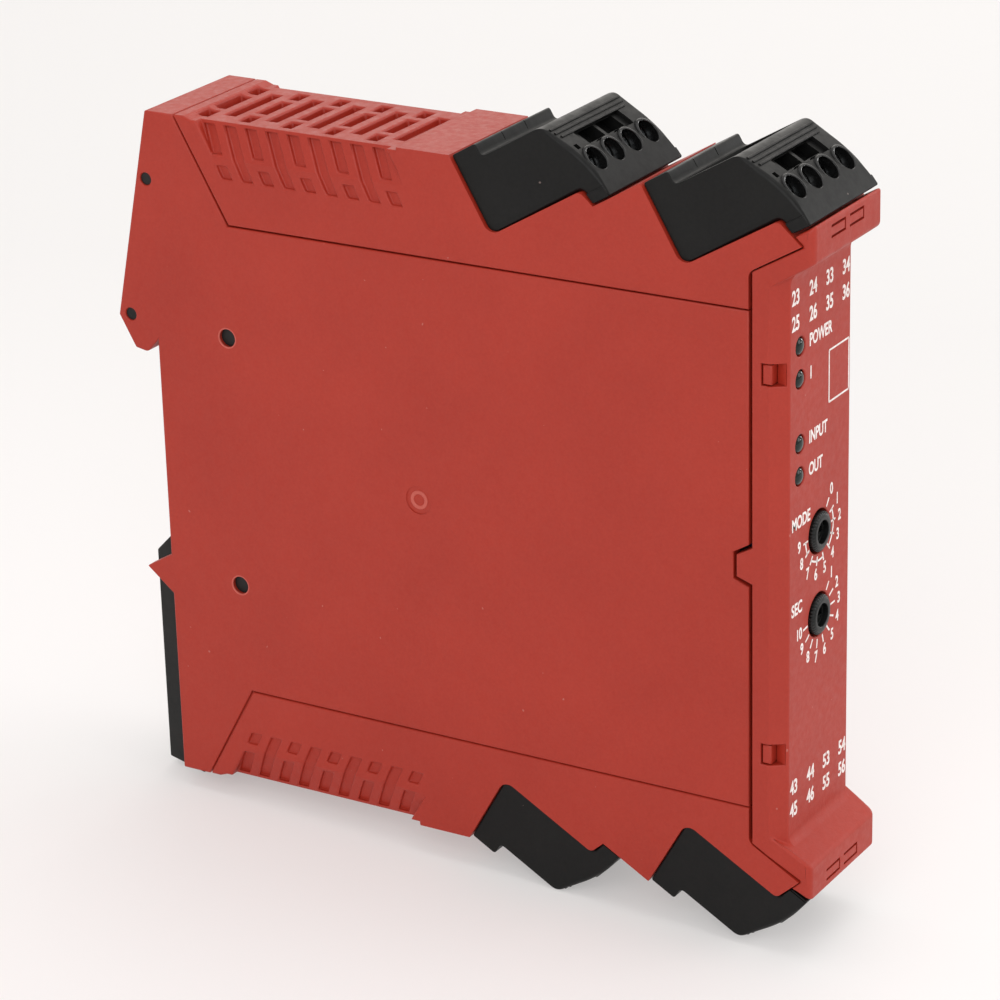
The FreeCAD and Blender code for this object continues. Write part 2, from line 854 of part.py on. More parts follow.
def make_latch():
    # Foot with a nose that hooks behind the rail, side flanges and a slotted pull tab.
    tab_root = -top_level - latch_tab_root_below
    outline = [
        (-latch_gap, -latch_notch[1], 0),
        (-latch_notch[0], -latch_notch[1], 0),
        (-latch_notch[0], latch_top, 0),
        (-latch_chamfer[0], latch_top, 0),
        (-latch_rear, -latch_chamfer[1], 0),
        (-latch_rear, -top_level - latch_foot_below, 0),
        (latch_tab_front, -top_level - latch_tab_below, 0),
        (latch_tab_front, tab_root, 0),
        (-latch_gap, tab_root, 0),
    ]
    body = slab(outline, -latch_half_width, latch_half_width)
    reach = latch_half_width + flange_width
    flange = block(-reach, reach, -latch_gap - flange_thickness, -latch_gap,
                   flange_above - top_level, flange_top)
    slot = block(-latch_slot_half, latch_slot_half, -latch_rear - past, past,
                 latch_slot_above[0] - top_level, latch_slot_above[1] - top_level)
    return body.fuse(flange).cut(slot).removeSplitter()


def write(name, shape):
    placed = shape.copy()
    placed.translate(frame_offset)
    placed.exportStep(os.path.join("parts", name + ".step"))


def write_plug(name, seat_depth, turned):
    # One terminal plug with its metal and the header it plugs onto.
    places = range(pole_count)
    pieces = {
        name + "_plug": make_plug(),
        name + "_cages": Part.makeCompound([make_cage(x) for x in pole_places]),
        name + "_contacts": Part.makeCompound([make_contact(x) for x in pole_places]),
        name + "_header": make_header(),
        name + "_pins": Part.makeCompound([make_pin(index) for index in places]),
    }
    for piece, shape in pieces.items():
        placed = seated(shape, seat_depth)
        write(piece, flipped(placed) if turned else placed)


os.makedirs("parts", exist_ok=True)
write("housing_base", make_base())
cover = make_cover()
write("top_cover", cover)
write("bottom_cover", flipped(cover))
write("front_cap", make_cap())
write("main_board", make_main_board())
write("front_board", make_panel_board())
write("output_relay_upper", make_relay(relay_level))
write("output_relay_lower", make_relay(-relay_level))
write("supply_capacitors", Part.makeCompound([make_capacitor(*place) for place in capacitor_places]))
write("logic_chips", Part.makeCompound([make_chip(*place) for place in chip_places]))
for light, level in light_heights.items():
    write(light + "_light", make_light(level))
write("range_switch", make_switch(range_dial_level))
write("time_switch", make_switch(time_dial_level))
write("range_dial", make_dial(range_dial_level))
write("time_dial", make_dial(time_dial_level))
write("rail_latch", make_latch())
write_plug("upper_rear", rear_seat_depth, False)
write_plug("upper_front", front_seat_depth, False)
write_plug("lower_rear", rear_seat_depth, True)
write_plug("lower_front", front_seat_depth, True)
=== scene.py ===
import json
import math
from functools import partial
import bpy
import bmesh
import numpy as np
from mathutils import Matrix, Vector

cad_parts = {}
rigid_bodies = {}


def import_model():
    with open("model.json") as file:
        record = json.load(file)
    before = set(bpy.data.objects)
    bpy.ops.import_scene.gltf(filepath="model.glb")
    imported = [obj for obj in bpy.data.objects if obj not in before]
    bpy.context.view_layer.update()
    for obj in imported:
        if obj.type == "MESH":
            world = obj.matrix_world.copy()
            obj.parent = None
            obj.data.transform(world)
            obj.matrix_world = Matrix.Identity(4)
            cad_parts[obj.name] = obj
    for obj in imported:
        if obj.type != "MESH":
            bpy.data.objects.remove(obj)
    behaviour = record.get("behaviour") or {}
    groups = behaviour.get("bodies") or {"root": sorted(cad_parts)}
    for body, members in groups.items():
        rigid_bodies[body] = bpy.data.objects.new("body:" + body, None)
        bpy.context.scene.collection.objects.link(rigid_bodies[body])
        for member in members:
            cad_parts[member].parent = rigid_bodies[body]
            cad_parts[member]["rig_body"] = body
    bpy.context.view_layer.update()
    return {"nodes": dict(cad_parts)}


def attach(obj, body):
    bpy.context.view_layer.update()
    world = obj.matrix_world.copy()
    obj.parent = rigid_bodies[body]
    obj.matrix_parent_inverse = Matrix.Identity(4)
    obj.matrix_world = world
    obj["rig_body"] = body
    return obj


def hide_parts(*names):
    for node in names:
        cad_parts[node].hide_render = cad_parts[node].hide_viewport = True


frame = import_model()
nodes = frame["nodes"]
milli = 0.001
print("frame loaded:", len(nodes), "nodes")

# where things lie on the module, in millimetres: depth runs forward from the rail, level up from mid-height
module = dict(depthZero=52.3, levelZero=60.27, halfWidth=11.25, panelDepth=107.45)
seat = dict(tilt=30.0, level=43.238, rearDepth=60.1, frontDepth=91.35, poles=(-7.62, -2.54, 2.54, 7.62))
plugNames = ("upper_rear", "upper_front", "lower_rear", "lower_front")


def fromSide(x, depth, level):  # side-view numbers to metres in the part's frame
    x, depth, level = np.broadcast_arrays(x, depth, level)
    return np.stack([x, module["depthZero"] - depth, module["levelZero"] + level], -1) * milli


def fromSeat(name, x, along, above):  # numbers in a plug's own seat frame to metres
    turn = math.radians(seat["tilt"])
    start = seat["rearDepth"] if name.endswith("rear") else seat["frontDepth"]
    depth = start + along * math.cos(turn) - above * math.sin(turn)
    level = seat["level"] + along * math.sin(turn) + above * math.cos(turn)
    return fromSide(x, depth, level if name.startswith("upper") else -level)


def toLinear(red, green, blue):  # screen colour 0..255 to a linear colour
    values = np.array([red, green, blue]) / 255
    low = values / 12.92
    high = ((values + 0.055) / 1.055) ** 2.4
    return (*np.where(values <= 0.04045, low, high).tolist(), 1.0)


def pointsOf(mesh):  # corner places as rows of x, y, z
    points = np.zeros(len(mesh.vertices) * 3)
    mesh.vertices.foreach_get("co", points)
    return points.reshape(-1, 3)


class Wire:  # one output socket; sums on it add Math nodes
    def __init__(self, tree, socket=None):
        self.tree = tree
        self.socket = socket

    def node(self, kind, settings=None, inputs=None, take=0):  # any node: settings, then values or links
        made = self.tree.nodes.new(kind)
        for key, value in (settings or {}).items():
            setattr(made, key, value)
        for key, value in (inputs or {}).items():
            if isinstance(value, Wire):
                self.tree.links.new(value.socket, made.inputs[key])
            else:
                made.inputs[key].default_value = value
        return Wire(self.tree, made.outputs[take])

    def sum(self, operation, first, second):
        return self.node("ShaderNodeMath", {"operation": operation}, {0: first, 1: second})

    def __add__(self, other):
        return self.sum("ADD", self, other)

    def __radd__(self, other):
        return self.sum("ADD", other, self)

    def __mul__(self, other):
        return self.sum("MULTIPLY", self, other)

    def __rmul__(self, other):
        return self.sum("MULTIPLY", other, self)

    def __gt__(self, other):
        return self.sum("GREATER_THAN", self, other)

    def mixed(self, first, second):  # this value as the share of the second colour
        return self.node("ShaderNodeMix", {"data_type": "RGBA"}, {0: self, 6: first, 7: second}, 2)

    def tinted(self, look):  # this value as the share of a finish's light colour in its dark one
        return self.mixed(toLinear(*look["dark"]), toLinear(*look["light"]))

    def spread(self, low, high, toLow=0.0, toHigh=1.0):  # stretches low..high onto toLow..toHigh
        inputs = {0: self, 1: low, 2: high, 3: toLow, 4: toHigh}
        return self.node("ShaderNodeMapRange", {"clamp": True}, inputs)


def newMaterial(name):  # material with one Principled shader; returns the tools that a finish needs
    made = bpy.data.materials.new(name)
    made.use_nodes = True
    tree = made.node_tree
    shader = tree.nodes["Principled BSDF"]
    wire = Wire(tree)
    return made, shader, wire, wire.node("ShaderNodeTexCoord", take="Object")


def noise(wire, place, scale, detail=3.0, rough=0.55):
    inputs = {"Vector": place, "Scale": scale, "Detail": detail, "Roughness": rough}
    return wire.node("ShaderNodeTexNoise", None, inputs)


def grainBump(wire, height, strength, depth):  # relief of a given depth in millimetres
    inputs = {"Strength": strength, "Distance": depth * milli, "Height": height}
    return wire.node("ShaderNodeBump", None, inputs)


def feed(shader, wire, **links):  # sets constants and joins wires on the shader's own sockets
    for key, value in links.items():
        socket = shader.inputs[key.replace("_", " ")]
        if isinstance(value, Wire):
            wire.tree.links.new(value.socket, socket)
        else:
            socket.default_value = value


noiseSpan = (0.3, 0.7)  # nearly all values of a noise lie between these

# moulded plastic: a fine spark grain over a faint cloudy tone, with a few pale dust specks
plastics = dict(
    housingRed=dict(dark=(155, 39, 23), light=(167, 46, 29), grain=2200, depth=0.085, rough=0.5, gloss=0.4),
    # pale red: the gate mark's ring, and a painted highlight round the pin holes
    housingPale=dict(dark=(176, 74, 62), light=(190, 90, 78), grain=1500, depth=0.05, rough=0.5, gloss=0.4),
    plugBlack=dict(dark=(11, 11, 11), light=(21, 21, 20), grain=1700, depth=0.035, rough=0.43, gloss=0.2),
    collarBlack=dict(dark=(10, 10, 10), light=(18, 18, 18), grain=2600, depth=0.008, rough=0.18, gloss=0.35),
    latchBlack=dict(dark=(19, 19, 18), light=(30, 29, 28), grain=1400, depth=0.05, rough=0.5, gloss=0.3),
    dialBlack=dict(dark=(7, 9, 9), light=(16, 18, 17), grain=2400, depth=0.02, rough=0.36, gloss=0.3),
    headerBlack=dict(dark=(24, 24, 26), light=(36, 36, 38), grain=1600, depth=0.03, rough=0.5, gloss=0.3),
)
moulding = dict(cloud=55.0, fineDetail=4.0, fineRough=0.6, coarser=0.38, tone=(0.32, 0.68), fineShare=0.6,
                bump=0.55, smoother=0.07, rougher=0.08,
                dust=dict(scale=900.0, detail=1.0, over=0.81, share=0.2, colour=(205, 180, 172)))


def mouldedPlastic(name):
    # tone = cloud noise + fine noise; specks = tight noise over a threshold; bump = two noises of grain
    look = plastics[name]
    dust = moulding["dust"]
    made, shader, wire, place = newMaterial(name)
    cloud = noise(wire, place, moulding["cloud"])
    fine = noise(wire, place, look["grain"], moulding["fineDetail"], moulding["fineRough"])
    coarse = noise(wire, place, look["grain"] * moulding["coarser"])
    tone = (cloud * 0.5 + fine * 0.5).spread(*moulding["tone"])
    speck = (noise(wire, place, dust["scale"], dust["detail"]) > dust["over"]) * dust["share"]
    grain = fine * moulding["fineShare"] + coarse * (1 - moulding["fineShare"])
    smooth, rough = look["rough"] - moulding["smoother"], look["rough"] + moulding["rougher"]
    feed(shader, wire, Base_Color=speck.mixed(tone.tinted(look), toLinear(*dust["colour"])),
         Roughness=coarse.spread(*noiseSpan, smooth, rough),
         Normal=grainBump(wire, grain, moulding["bump"], look["depth"]), Specular_IOR_Level=look["gloss"])
    return made


mask = dict(weave=900.0, wander=1.5, patch=180.0, weaveShare=0.3, span=(0.25, 0.75), dark=(18, 62, 40),
            light=(34, 96, 60), rough=(0.3, 0.45))


def boardGreen(name):  # solder mask: green with a faint weave and darker patches
    made, shader, wire, place = newMaterial(name)
    inputs = {"Vector": place, "Scale": mask["weave"], "Distortion": mask["wander"]}
    weave = wire.node("ShaderNodeTexWave", {"wave_type": "BANDS"}, inputs)
    patch = noise(wire, place, mask["patch"])
    tone = (weave * mask["weaveShare"] + patch * (1 - mask["weaveShare"])).spread(*mask["span"])
    feed(shader, wire, Base_Color=tone.tinted(mask), Roughness=patch.spread(*noiseSpan, *mask["rough"]))
    return made


metals = dict(
    pinTin=dict(dark=(168, 168, 166), light=(206, 205, 200), rough=0.3),
    contactBrass=dict(dark=(178, 140, 74), light=(214, 178, 104), rough=0.32),
    cageSteel=dict(dark=(150, 152, 154), light=(196, 197, 196), rough=0.36),
    screwZinc=dict(dark=(150, 156, 160), light=(216, 219, 220), rough=0.28),
)
plating = dict(cloud=420.0, brushed=2600.0, detail=4.0, bump=0.3, depth=0.01, smoother=0.08, rougher=0.1)


def brightMetal(name):  # plated metal: cloudy tone and fine brushed roughness
    look = metals[name]
    made, shader, wire, place = newMaterial(name)
    cloud = noise(wire, place, plating["cloud"]).spread(*noiseSpan)
    brushed = noise(wire, place, plating["brushed"], plating["detail"])
    smooth, rough = look["rough"] - plating["smoother"], look["rough"] + plating["rougher"]
    feed(shader, wire, Base_Color=cloud.tinted(look), Metallic=1.0,
         Roughness=brushed.spread(*noiseSpan, smooth, rough),
         Normal=grainBump(wire, brushed, plating["bump"], plating["depth"]))
    return made


resin = dict(cloud=900.0, haze=3000.0, dark=(5, 14, 11), light=(16, 32, 27), rough=(0.05, 0.12), gloss=0.35)


def clearGreen(name):  # light dome: dark green resin, glossy, paler where the cloud in it is thick
    made, shader, wire, place = newMaterial(name)
    cloud = noise(wire, place, resin["cloud"]).spread(*noiseSpan)
    haze = noise(wire, place, resin["haze"])
    feed(shader, wire, Base_Color=cloud.tinted(resin),
         Roughness=haze.spread(*noiseSpan, *resin["rough"]), Specular_IOR_Level=resin["gloss"])
    return made


inkFinish = dict(patch=1300.0, detail=4.0, thin=(0.35, 0.7), full=(243, 240, 238), worn=(222, 206, 200),
                 bump=0.3, depth=0.01, rough=(0.42, 0.56))


def whitePrint(name):  # pad-printed ink: nearly white, thinner here and there
    made, shader, wire, place = newMaterial(name)
    patch = noise(wire, place, inkFinish["patch"], inkFinish["detail"])
    thin = patch.spread(*inkFinish["thin"])
    feed(shader, wire, Base_Color=thin.mixed(toLinear(*inkFinish["full"]), toLinear(*inkFinish["worn"])),
         Roughness=patch.spread(*noiseSpan, *inkFinish["rough"]),
         Normal=grainBump(wire, patch, inkFinish["bump"], inkFinish["depth"]))
    return made


cases = dict(
    relayCase=dict(dark=(196, 198, 196), light=(222, 222, 218)),
    capacitorSleeve=dict(dark=(52, 66, 104), light=(74, 90, 132)),
    switchCase=dict(dark=(36, 58, 92), light=(54, 80, 120)),
    chipBlack=dict(dark=(24, 24, 25), light=(38, 38, 39)),
)
caseFinish = dict(cloud=130.0, fine=1500.0, cloudShare=0.6, rough=(0.35, 0.5))


def casePlastic(name):  # plain inner cases: cloud noise + fine noise
    look = cases[name]
    made, shader, wire, place = newMaterial(name)
    cloud = noise(wire, place, caseFinish["cloud"])
    fine = noise(wire, place, caseFinish["fine"])
    tone = (cloud * caseFinish["cloudShare"] + fine * (1 - caseFinish["cloudShare"])).spread(*noiseSpan)
    feed(shader, wire, Base_Color=tone.tinted(look), Roughness=fine.spread(*noiseSpan, *caseFinish["rough"]))
    return made


finish = {name: mouldedPlastic(name) for name in plastics}
finish.update({name: brightMetal(name) for name in metals})
finish["boardGreen"] = boardGreen("boardGreen")
finish["lightPipe"] = clearGreen("lightPipe")
finish["whitePrint"] = whitePrint("whitePrint")
finish.update({name: casePlastic(name) for name in cases})
print("finishes made:", len(finish))

# which finish each node of the record's slots gets
slotFinish = dict(
    housing_red="housingRed", plug_black="plugBlack", latch_black="latchBlack", dial_black="dialBlack",
    header_black="headerBlack", chip_black="chipBlack", switch_case="switchCase", board_green="boardGreen",
    relay_case="relayCase", capacitor_sleeve="capacitorSleeve", light_pipe="lightPipe", pin_tin="pinTin",
    contact_brass="contactBrass", cage_steel="cageSteel",
)


def slotOf(node):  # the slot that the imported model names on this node's material
    return nodes[node].data.materials[0].name.split(".")[0]


def dress(node, name):
    mesh = nodes[node].data
    mesh.materials.clear()
    mesh.materials.append(finish[name])


nodeSlots = {node: slotOf(node) for node in nodes}
for node, slot in nodeSlots.items():
    dress(node, slotFinish[slot])
print("nodes dressed")


def addPiece(name, mesh, finishName, body):  # links a finished mesh and seats it on its body
    mesh.materials.clear()
    mesh.materials.append(finish[finishName])
    piece = bpy.data.objects.new(name, mesh)
    bpy.context.scene.collection.objects.link(piece)
    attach(piece, body)
    return piece


def bodyOf(node):  # the body that a node rides on
    return nodes[node]["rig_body"]


# mould edges: a merged copy of the solid with soft edges, cut through its holes so that flat faces stay whole
edges = dict(housing=0.22, cover=0.32, lip=1.2, room=2.2, least=0.1, steps=3, angle=28.0, flat=0.5,
             merge=0.0005, match=0.02)


def inSide(points):  # metres back to side-view numbers
    x, y, z = points.T / milli
    return x, module["depthZero"] - y, z - module["levelZero"]


def roomBeside(edge):  # how far the narrower face beside an edge reaches from it
    start = edge.verts[0].co
    run = (edge.verts[1].co - start).normalized()
    return min(max((spot.co - start).cross(run).length for spot in face.verts) for face in edge.link_faces)


def withShifts(node, shifts):  # copy of a node's mesh with some corners moved to another level
    mesh = nodes[node].data.copy()
    points = pointsOf(mesh)
    depth, level = inSide(points)[1:]
    for at, old, new in shifts:
        moved = (np.abs(depth - at) < edges["match"]) & (np.abs(level - old) < edges["match"])
        points[moved, 2] += (new - old) * milli
    mesh.vertices.foreach_set("co", points.ravel())
    return mesh


def softened(node, width, cuts, seen, tools=(), shifts=()):
    # edge width = width * share; seen gives each edge its share, and a narrow face beside the edge lowers it
    shape = bmesh.new()
    shape.from_mesh(withShifts(node, shifts))
    bmesh.ops.remove_doubles(shape, verts=shape.verts, dist=edges["merge"] * milli)
    if tools:
        whole = bpy.data.meshes.new(node + "_whole")
        shape.to_mesh(whole)
        shape.clear()
        shape.from_mesh(cutBy(whole, tools))
    for axis, place in cuts:
        normal = Vector([float(axis == index) for index in range(3)])
        parts = shape.verts[:] + shape.edges[:] + shape.faces[:]
        middle = normal * place * milli
        done = bmesh.ops.bisect_plane(shape, geom=parts, dist=1e-8, plane_co=middle, plane_no=normal)
        for part in done["geom_cut"]:
            if isinstance(part, bmesh.types.BMEdge):
                part.seam = True
    bmesh.ops.dissolve_limit(shape, angle_limit=math.radians(edges["flat"]), delimit={"SEAM"},
                             verts=shape.verts, edges=shape.edges)
    bends = np.array([edge.calc_face_angle(0.0) for edge in shape.edges])
    rooms = np.array([roomBeside(edge) for edge in shape.edges])
    mesh = bpy.data.meshes.new(node + "_moulded")
    shape.to_mesh(mesh)
    shape.free()
    ends = np.zeros(len(mesh.edges) * 2, int)
    mesh.edges.foreach_get("vertices", ends)
    share = seen(pointsOf(mesh), ends.reshape(-1, 2))
    share = np.minimum(share, rooms / (edges["room"] * width * milli))
    share = np.where(share > edges["least"] / width, share, 0.0)
    weights = mesh.attributes.new("bevel_weight_edge", "FLOAT", "EDGE")
    weights.data.foreach_set("value", (share * (bends > math.radians(edges["angle"]))).astype(np.float32))
    mesh.shade_smooth()
    mesh.set_sharp_from_angle(angle=math.radians(edges["angle"]))
    piece = addPiece(node + "_moulded", mesh, slotFinish[nodeSlots[node]], bodyOf(node))
    bevel = piece.modifiers.new("mould edge", "BEVEL")
    bevel.width = width * milli
    bevel.segments = edges["steps"]
    bevel.limit_method = "WEIGHT"
    bevel.use_clamp_overlap = node == "rail_latch"
    piece.modifiers.new("flat faces", "WEIGHTED_NORMAL").keep_sharp = True
    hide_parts(node)
    return piece


def levelPlane(level):  # axis and place of a level cut
    return 2, module["levelZero"] + level


def depthPlane(depth):  # axis and place of an upright cut across the depth
    return 1, module["depthZero"] - depth


def bothEnds(share, ends):  # an edge takes the lower share of its two ends
    return (1.0 * share)[ends].min(1)


# zones of the shells in side-view numbers, and the share of the edge width in each
zone = dict(side=9.3, rear=0.1, lipLevel=45.0,
            cover=dict(top=52.5, seatDepth=53.0, seatLevel=41.0,
                       rimLevel=53.2, rim=(9.2, 10.6), rimShare=0.36),
            cap=dict(front=106.0, share=0.18, lipDepth=110.0, lipShare=0.45,
                     corner=(105.0, 11.2), hollow=(0.1, 41.5)),
            mark=dict(depth=110.5, half=6.0, level=49.5, rise=1.3))


def outside(points, ends):  # outer faces of the base and its rear
    x, depth = inSide(points)[:2]
    return bothEnds((np.abs(x) > zone["side"]) | (depth < zone["rear"]), ends)


def coverOutside(points, ends):  # narrower along the vents' rim, none round the seats
    x, depth, level = np.abs(inSide(points))
    cover = zone["cover"]
    share = 1.0 * ((x > zone["side"]) | (level > cover["top"]))
    share = share * ((depth < cover["seatDepth"]) | (level < cover["seatLevel"]))
    rim = (level > cover["rimLevel"]) & (x > cover["rim"][0]) & (x < cover["rim"][1])
    return bothEnds(np.where(rim, np.minimum(share, cover["rimShare"]), share), ends)


def capOutside(points, ends):  # widest round the lips' ends and feet, none on the engraved brackets
    x, depth, level = np.abs(inSide(points))
    cap, mark = zone["cap"], zone["mark"]
    lip = (depth > cap["lipDepth"]) & (level > zone["lipLevel"])
    marked = (depth > mark["depth"]) & (x < mark["half"]) & (np.abs(level - mark["level"]) < mark["rise"])
    share = cap["share"] * ((x > zone["side"]) | (depth > cap["front"]))
    share = np.where(marked, 0.0, np.where(lip, cap["lipShare"], share))
    corner = (depth > cap["corner"][0]) & (level > zone["lipLevel"]) & (x > cap["corner"][1])
    hollow = (np.abs(depth - module["panelDepth"]) < cap["hollow"][0]) & (level > cap["hollow"][1])
    return np.where(corner[ends].all(1) | hollow[ends].all(1), 1.0, bothEnds(share, ends))


def everywhere(points, ends):  # the full width on every edge
    return np.ones(len(ends))


smoothBelow = dict(grid=35.0, plug=32.0)  # faces that meet at less than this many degrees look round


def facedOutward(mesh, angle):  # faces turned outward, and smooth where they meet at less than the angle
    shape = bmesh.new()
    shape.from_mesh(mesh)
    bmesh.ops.recalc_face_normals(shape, faces=shape.faces)
    shape.to_mesh(mesh)
    shape.free()
    mesh.shade_smooth()
    mesh.set_sharp_from_angle(angle=math.radians(angle))
    return mesh


def gridMesh(name, grids, closedAcross=True, caps=True, poles=(False, False)):
    # each grid is rings x points x 3; faces join neighbours, ends are closed by a cap or a pole
    points = []
    faces = []
    start = 0
    for grid in grids:
        rings, count = grid.shape[:2]
        ids = start + np.arange(rings * count).reshape(rings, count)
        nextIds = np.roll(ids, -1, axis=1) if closedAcross else ids[:, 1:]
        here = ids if closedAcross else ids[:, :-1]
        quads = np.stack([here[:-1], nextIds[:-1], nextIds[1:], here[1:]], -1).reshape(-1, 4)
        faces += quads.tolist()
        points.append(grid.reshape(-1, 3))
        start += rings * count
        for end, ring in ((0, ids[0][::-1]), (1, ids[-1])):
            if poles[end]:
                points.append(grid[-end].mean(0, keepdims=True))
                fan = np.stack([ring, np.roll(ring, -1), np.full(count, start)], -1)
                faces += fan.tolist()
                start += 1
            elif caps:
                faces.append(ring.tolist())
    mesh = bpy.data.meshes.new(name)
    mesh.from_pydata(np.concatenate(points), [], faces)
    return facedOutward(mesh, smoothBelow["grid"])


def loopProfile(corners, radius, steps=4):
    # closed outline through corners, each turned by a curve that starts and ends a given reach from it
    corners = np.array(corners, float)
    radius = np.reshape(radius, (-1, 1))
    before = np.roll(corners, 1, 0) - corners
    after = np.roll(corners, -1, 0) - corners
    before /= np.linalg.norm(before, axis=1, keepdims=True)
    after /= np.linalg.norm(after, axis=1, keepdims=True)
    share = np.linspace(0, 1, steps + 1)[None, :, None]
    first = corners + before * radius
    last = corners + after * radius
    middle = 2 * corners[:, None] * share * (1 - share)
    curve = first[:, None] * (1 - share) ** 2 + middle + last[:, None] * share ** 2
    return curve.reshape(-1, 2)


def fullTurn(count):  # angles of a closed round, as a row
    return np.linspace(0, 2 * np.pi, count, endpoint=False)[None, :]


def carried(profile, stations, place):  # loop of (along, above) pairs carried across the stations in x
    along = np.broadcast_to(profile[:, 0], (len(stations), len(profile)))
    above = np.broadcast_to(profile[:, 1], (len(stations), len(profile)))
    across = np.broadcast_to(np.array(stations)[:, None], along.shape)
    return place(across, along, above)


# plug bodies: a smooth side outline carried across the width, drawn in at both ends, with openings cut out
plugBody = dict(
    halfWidth=10.7, rounding=0.16, frontRounding=0.75, endSteps=6, cornerSteps=10,
    frontZone=dict(along=(14.6, 1.2), low=(-2.0, 3.0), high=(10.4, 1.6)),  # start and run of each fade
    corners=[(0.12, 0.12), (17.5, 0.12), (18.4, -2.45), (21.4, -2.45), (20.7, 1.6),
             (19.45, 4.9), (16.0, 10.6), (4.6, 10.6), (4.6, 12.75), (0.12, 12.75)],
    reach=[1.3, 0.8, 0.15, 0.35, 1.3, 2.2, 1.3, 0.9, 0.5, 0.4],
    slope=(5, 6))  # corners at the ends of the upper slope

# openings: a box is left, right, rear, front, low, high; a cut in the slope is left, right, low, high, sink
opening = dict(
    screwRadius=1.92, screwTurns=48, level=3.1, screwStart=12.6, past=26.0, overlap=0.1,
    roomHalf=2.15, room=(7.6, 12.75), roomRise=2.55, entryHalf=1.8, entry=(8.6, 11.6), socketHalf=1.3,
    pocket=(-6.5, 6.5, 5.15, 7.85, 0.75), notch=(-9.35, -8.45, 5.35, 6.2, 0.7),
    windows=((-4.9, -0.35, 5.4, 7.5, 3.0), (0.35, 5.1, 5.4, 7.5, 3.0)),
    trough=(-9.75, 9.75, 5.3, 14.9, 9.2, 26.0),
    lines=((-3.38, -3.22), (3.02, 3.18)), line=(4.42, 5.0, 11.3, 13.0))


def plugShell():
    # outline drawn in by rounding * (1 - cos a) where x falls short of the end by rounding * (1 - sin a)
    outline = loopProfile(plugBody["corners"], plugBody["reach"], plugBody["cornerSteps"])
    run = np.roll(outline, -1, 0) - np.roll(outline, 1, 0)
    inward = np.stack([-run[:, 1], run[:, 0]], -1) / np.linalg.norm(run, axis=1, keepdims=True)
    along, above = outline.T
    (start, startRun), (low, lowRun), (high, highRun) = plugBody["frontZone"].values()
    front = np.clip((along - start) / startRun, 0, 1) * np.clip((above - low) / lowRun, 0, 1)
    front = front * np.clip((high - above) / highRun, 0, 1)
    rounding = plugBody["rounding"] + (plugBody["frontRounding"] - plugBody["rounding"]) * front
    bend = np.linspace(0, np.pi / 2, plugBody["endSteps"])
    bend = np.concatenate([bend[::-1], bend])[:, None]
    side = np.repeat([-1.0, 1.0], plugBody["endSteps"])[:, None]
    drawn = rounding * (1 - np.cos(bend))
    across = side * (plugBody["halfWidth"] - rounding * (1 - np.sin(bend)))
    return np.stack([across, along + drawn * inward[:, 0], above + drawn * inward[:, 1]], -1)


def slabCut(corners, left, right):  # closed block: outline of (along, above) corners from left to right
    corners = np.array(corners, float)
    return carried(corners, [left, right], lambda x, s, t: np.stack([x, s, t], -1))


def boxCut(left, right, rear, front, low, high):  # closed box in seat numbers
    return slabCut([(rear, low), (front, low), (front, high), (rear, high)], left, right)


def slopeEnds():
    return np.array([plugBody["corners"][index] for index in plugBody["slope"]])


def slopeAlong(above):  # where the upper slope of the plug's front lies at a height
    low, high = slopeEnds()
    return low[0] + (above - low[1]) / (high[1] - low[1]) * (high[0] - low[0])


def slopeCut(left, right, low, high, sink):  # block whose rear face lies below the slope by its sink
    past = opening["past"]
    corners = [(slopeAlong(low) - sink, low), (past, low), (past, high), (slopeAlong(high) - sink, high)]
    return slabCut(corners, left, right)


def roundCut(x):  # closed round bar along the plug
    angle = fullTurn(opening["screwTurns"])
    along = np.array([[opening["screwStart"]], [opening["past"]]])
    across = x + opening["screwRadius"] * np.cos(angle)
    above = opening["level"] + opening["screwRadius"] * np.sin(angle)
    return np.stack(np.broadcast_arrays(across, along, above), -1)


def cutBy(mesh, tools):  # the mesh with closed tool meshes taken away, one after another
    scene = bpy.context.scene.collection
    holders = [bpy.data.objects.new("cut", item) for item in [mesh] + tools]
    for holder in holders:
        scene.objects.link(holder)
    for tool in holders[1:]:
        step = holders[0].modifiers.new("cut", "BOOLEAN")
        step.operation = "DIFFERENCE"
        step.solver = "MANIFOLD"
        step.object = tool
    bpy.context.view_layer.update()
    made = bpy.data.meshes.new_from_object(holders[0].evaluated_get(bpy.context.evaluated_depsgraph_get()))
    for holder in holders:
        bpy.data.objects.remove(holder)
    return made


def seatedCopy(name, node, mesh):  # copy of a mesh drawn in seat numbers, laid on one seat
    made = mesh.copy()
    made.name = node
    made.vertices.foreach_set("co", fromSeat(name, *pointsOf(made).T).ravel())
    return facedOutward(made, smoothBelow["plug"])


def poleBoxes(half, *spans):  # one box for each pole
    return [boxCut(x - half, x + half, *spans) for x in seat["poles"]]


trough = [boxCut(*opening["trough"])]
chambers = poleBoxes(opening["roomHalf"], *opening["room"], opening["level"] - opening["roomRise"],
                     opening["level"] + opening["roomRise"])
channels = poleBoxes(opening["entryHalf"], *opening["entry"], opening["level"], opening["past"])
channels += poleBoxes(opening["socketHalf"], -opening["past"], opening["room"][0] + opening["overlap"],
                      opening["level"] - opening["socketHalf"], opening["level"] + opening["socketHalf"])
channels += [slopeCut(*opening["pocket"]), slopeCut(*opening["notch"])]
channels += [boxCut(*span, *opening["line"]) for span in opening["lines"]]
deep = [slopeCut(*window) for window in opening["windows"]] + [roundCut(x) for x in seat["poles"]]
tools = [gridMesh("tool", group) for group in (trough, chambers, channels, deep)]
plugMesh = cutBy(gridMesh("plug", [plugShell()]), tools)
for name in plugNames:
    mesh = seatedCopy(name, name + "_plug_moulded", plugMesh)
    body = addPiece(name + "_plug_moulded", mesh, "plugBlack", bodyOf(name + "_plug"))
    body.modifiers.new("flat faces", "WEIGHTED_NORMAL").keep_sharp = True
    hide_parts(name + "_plug")
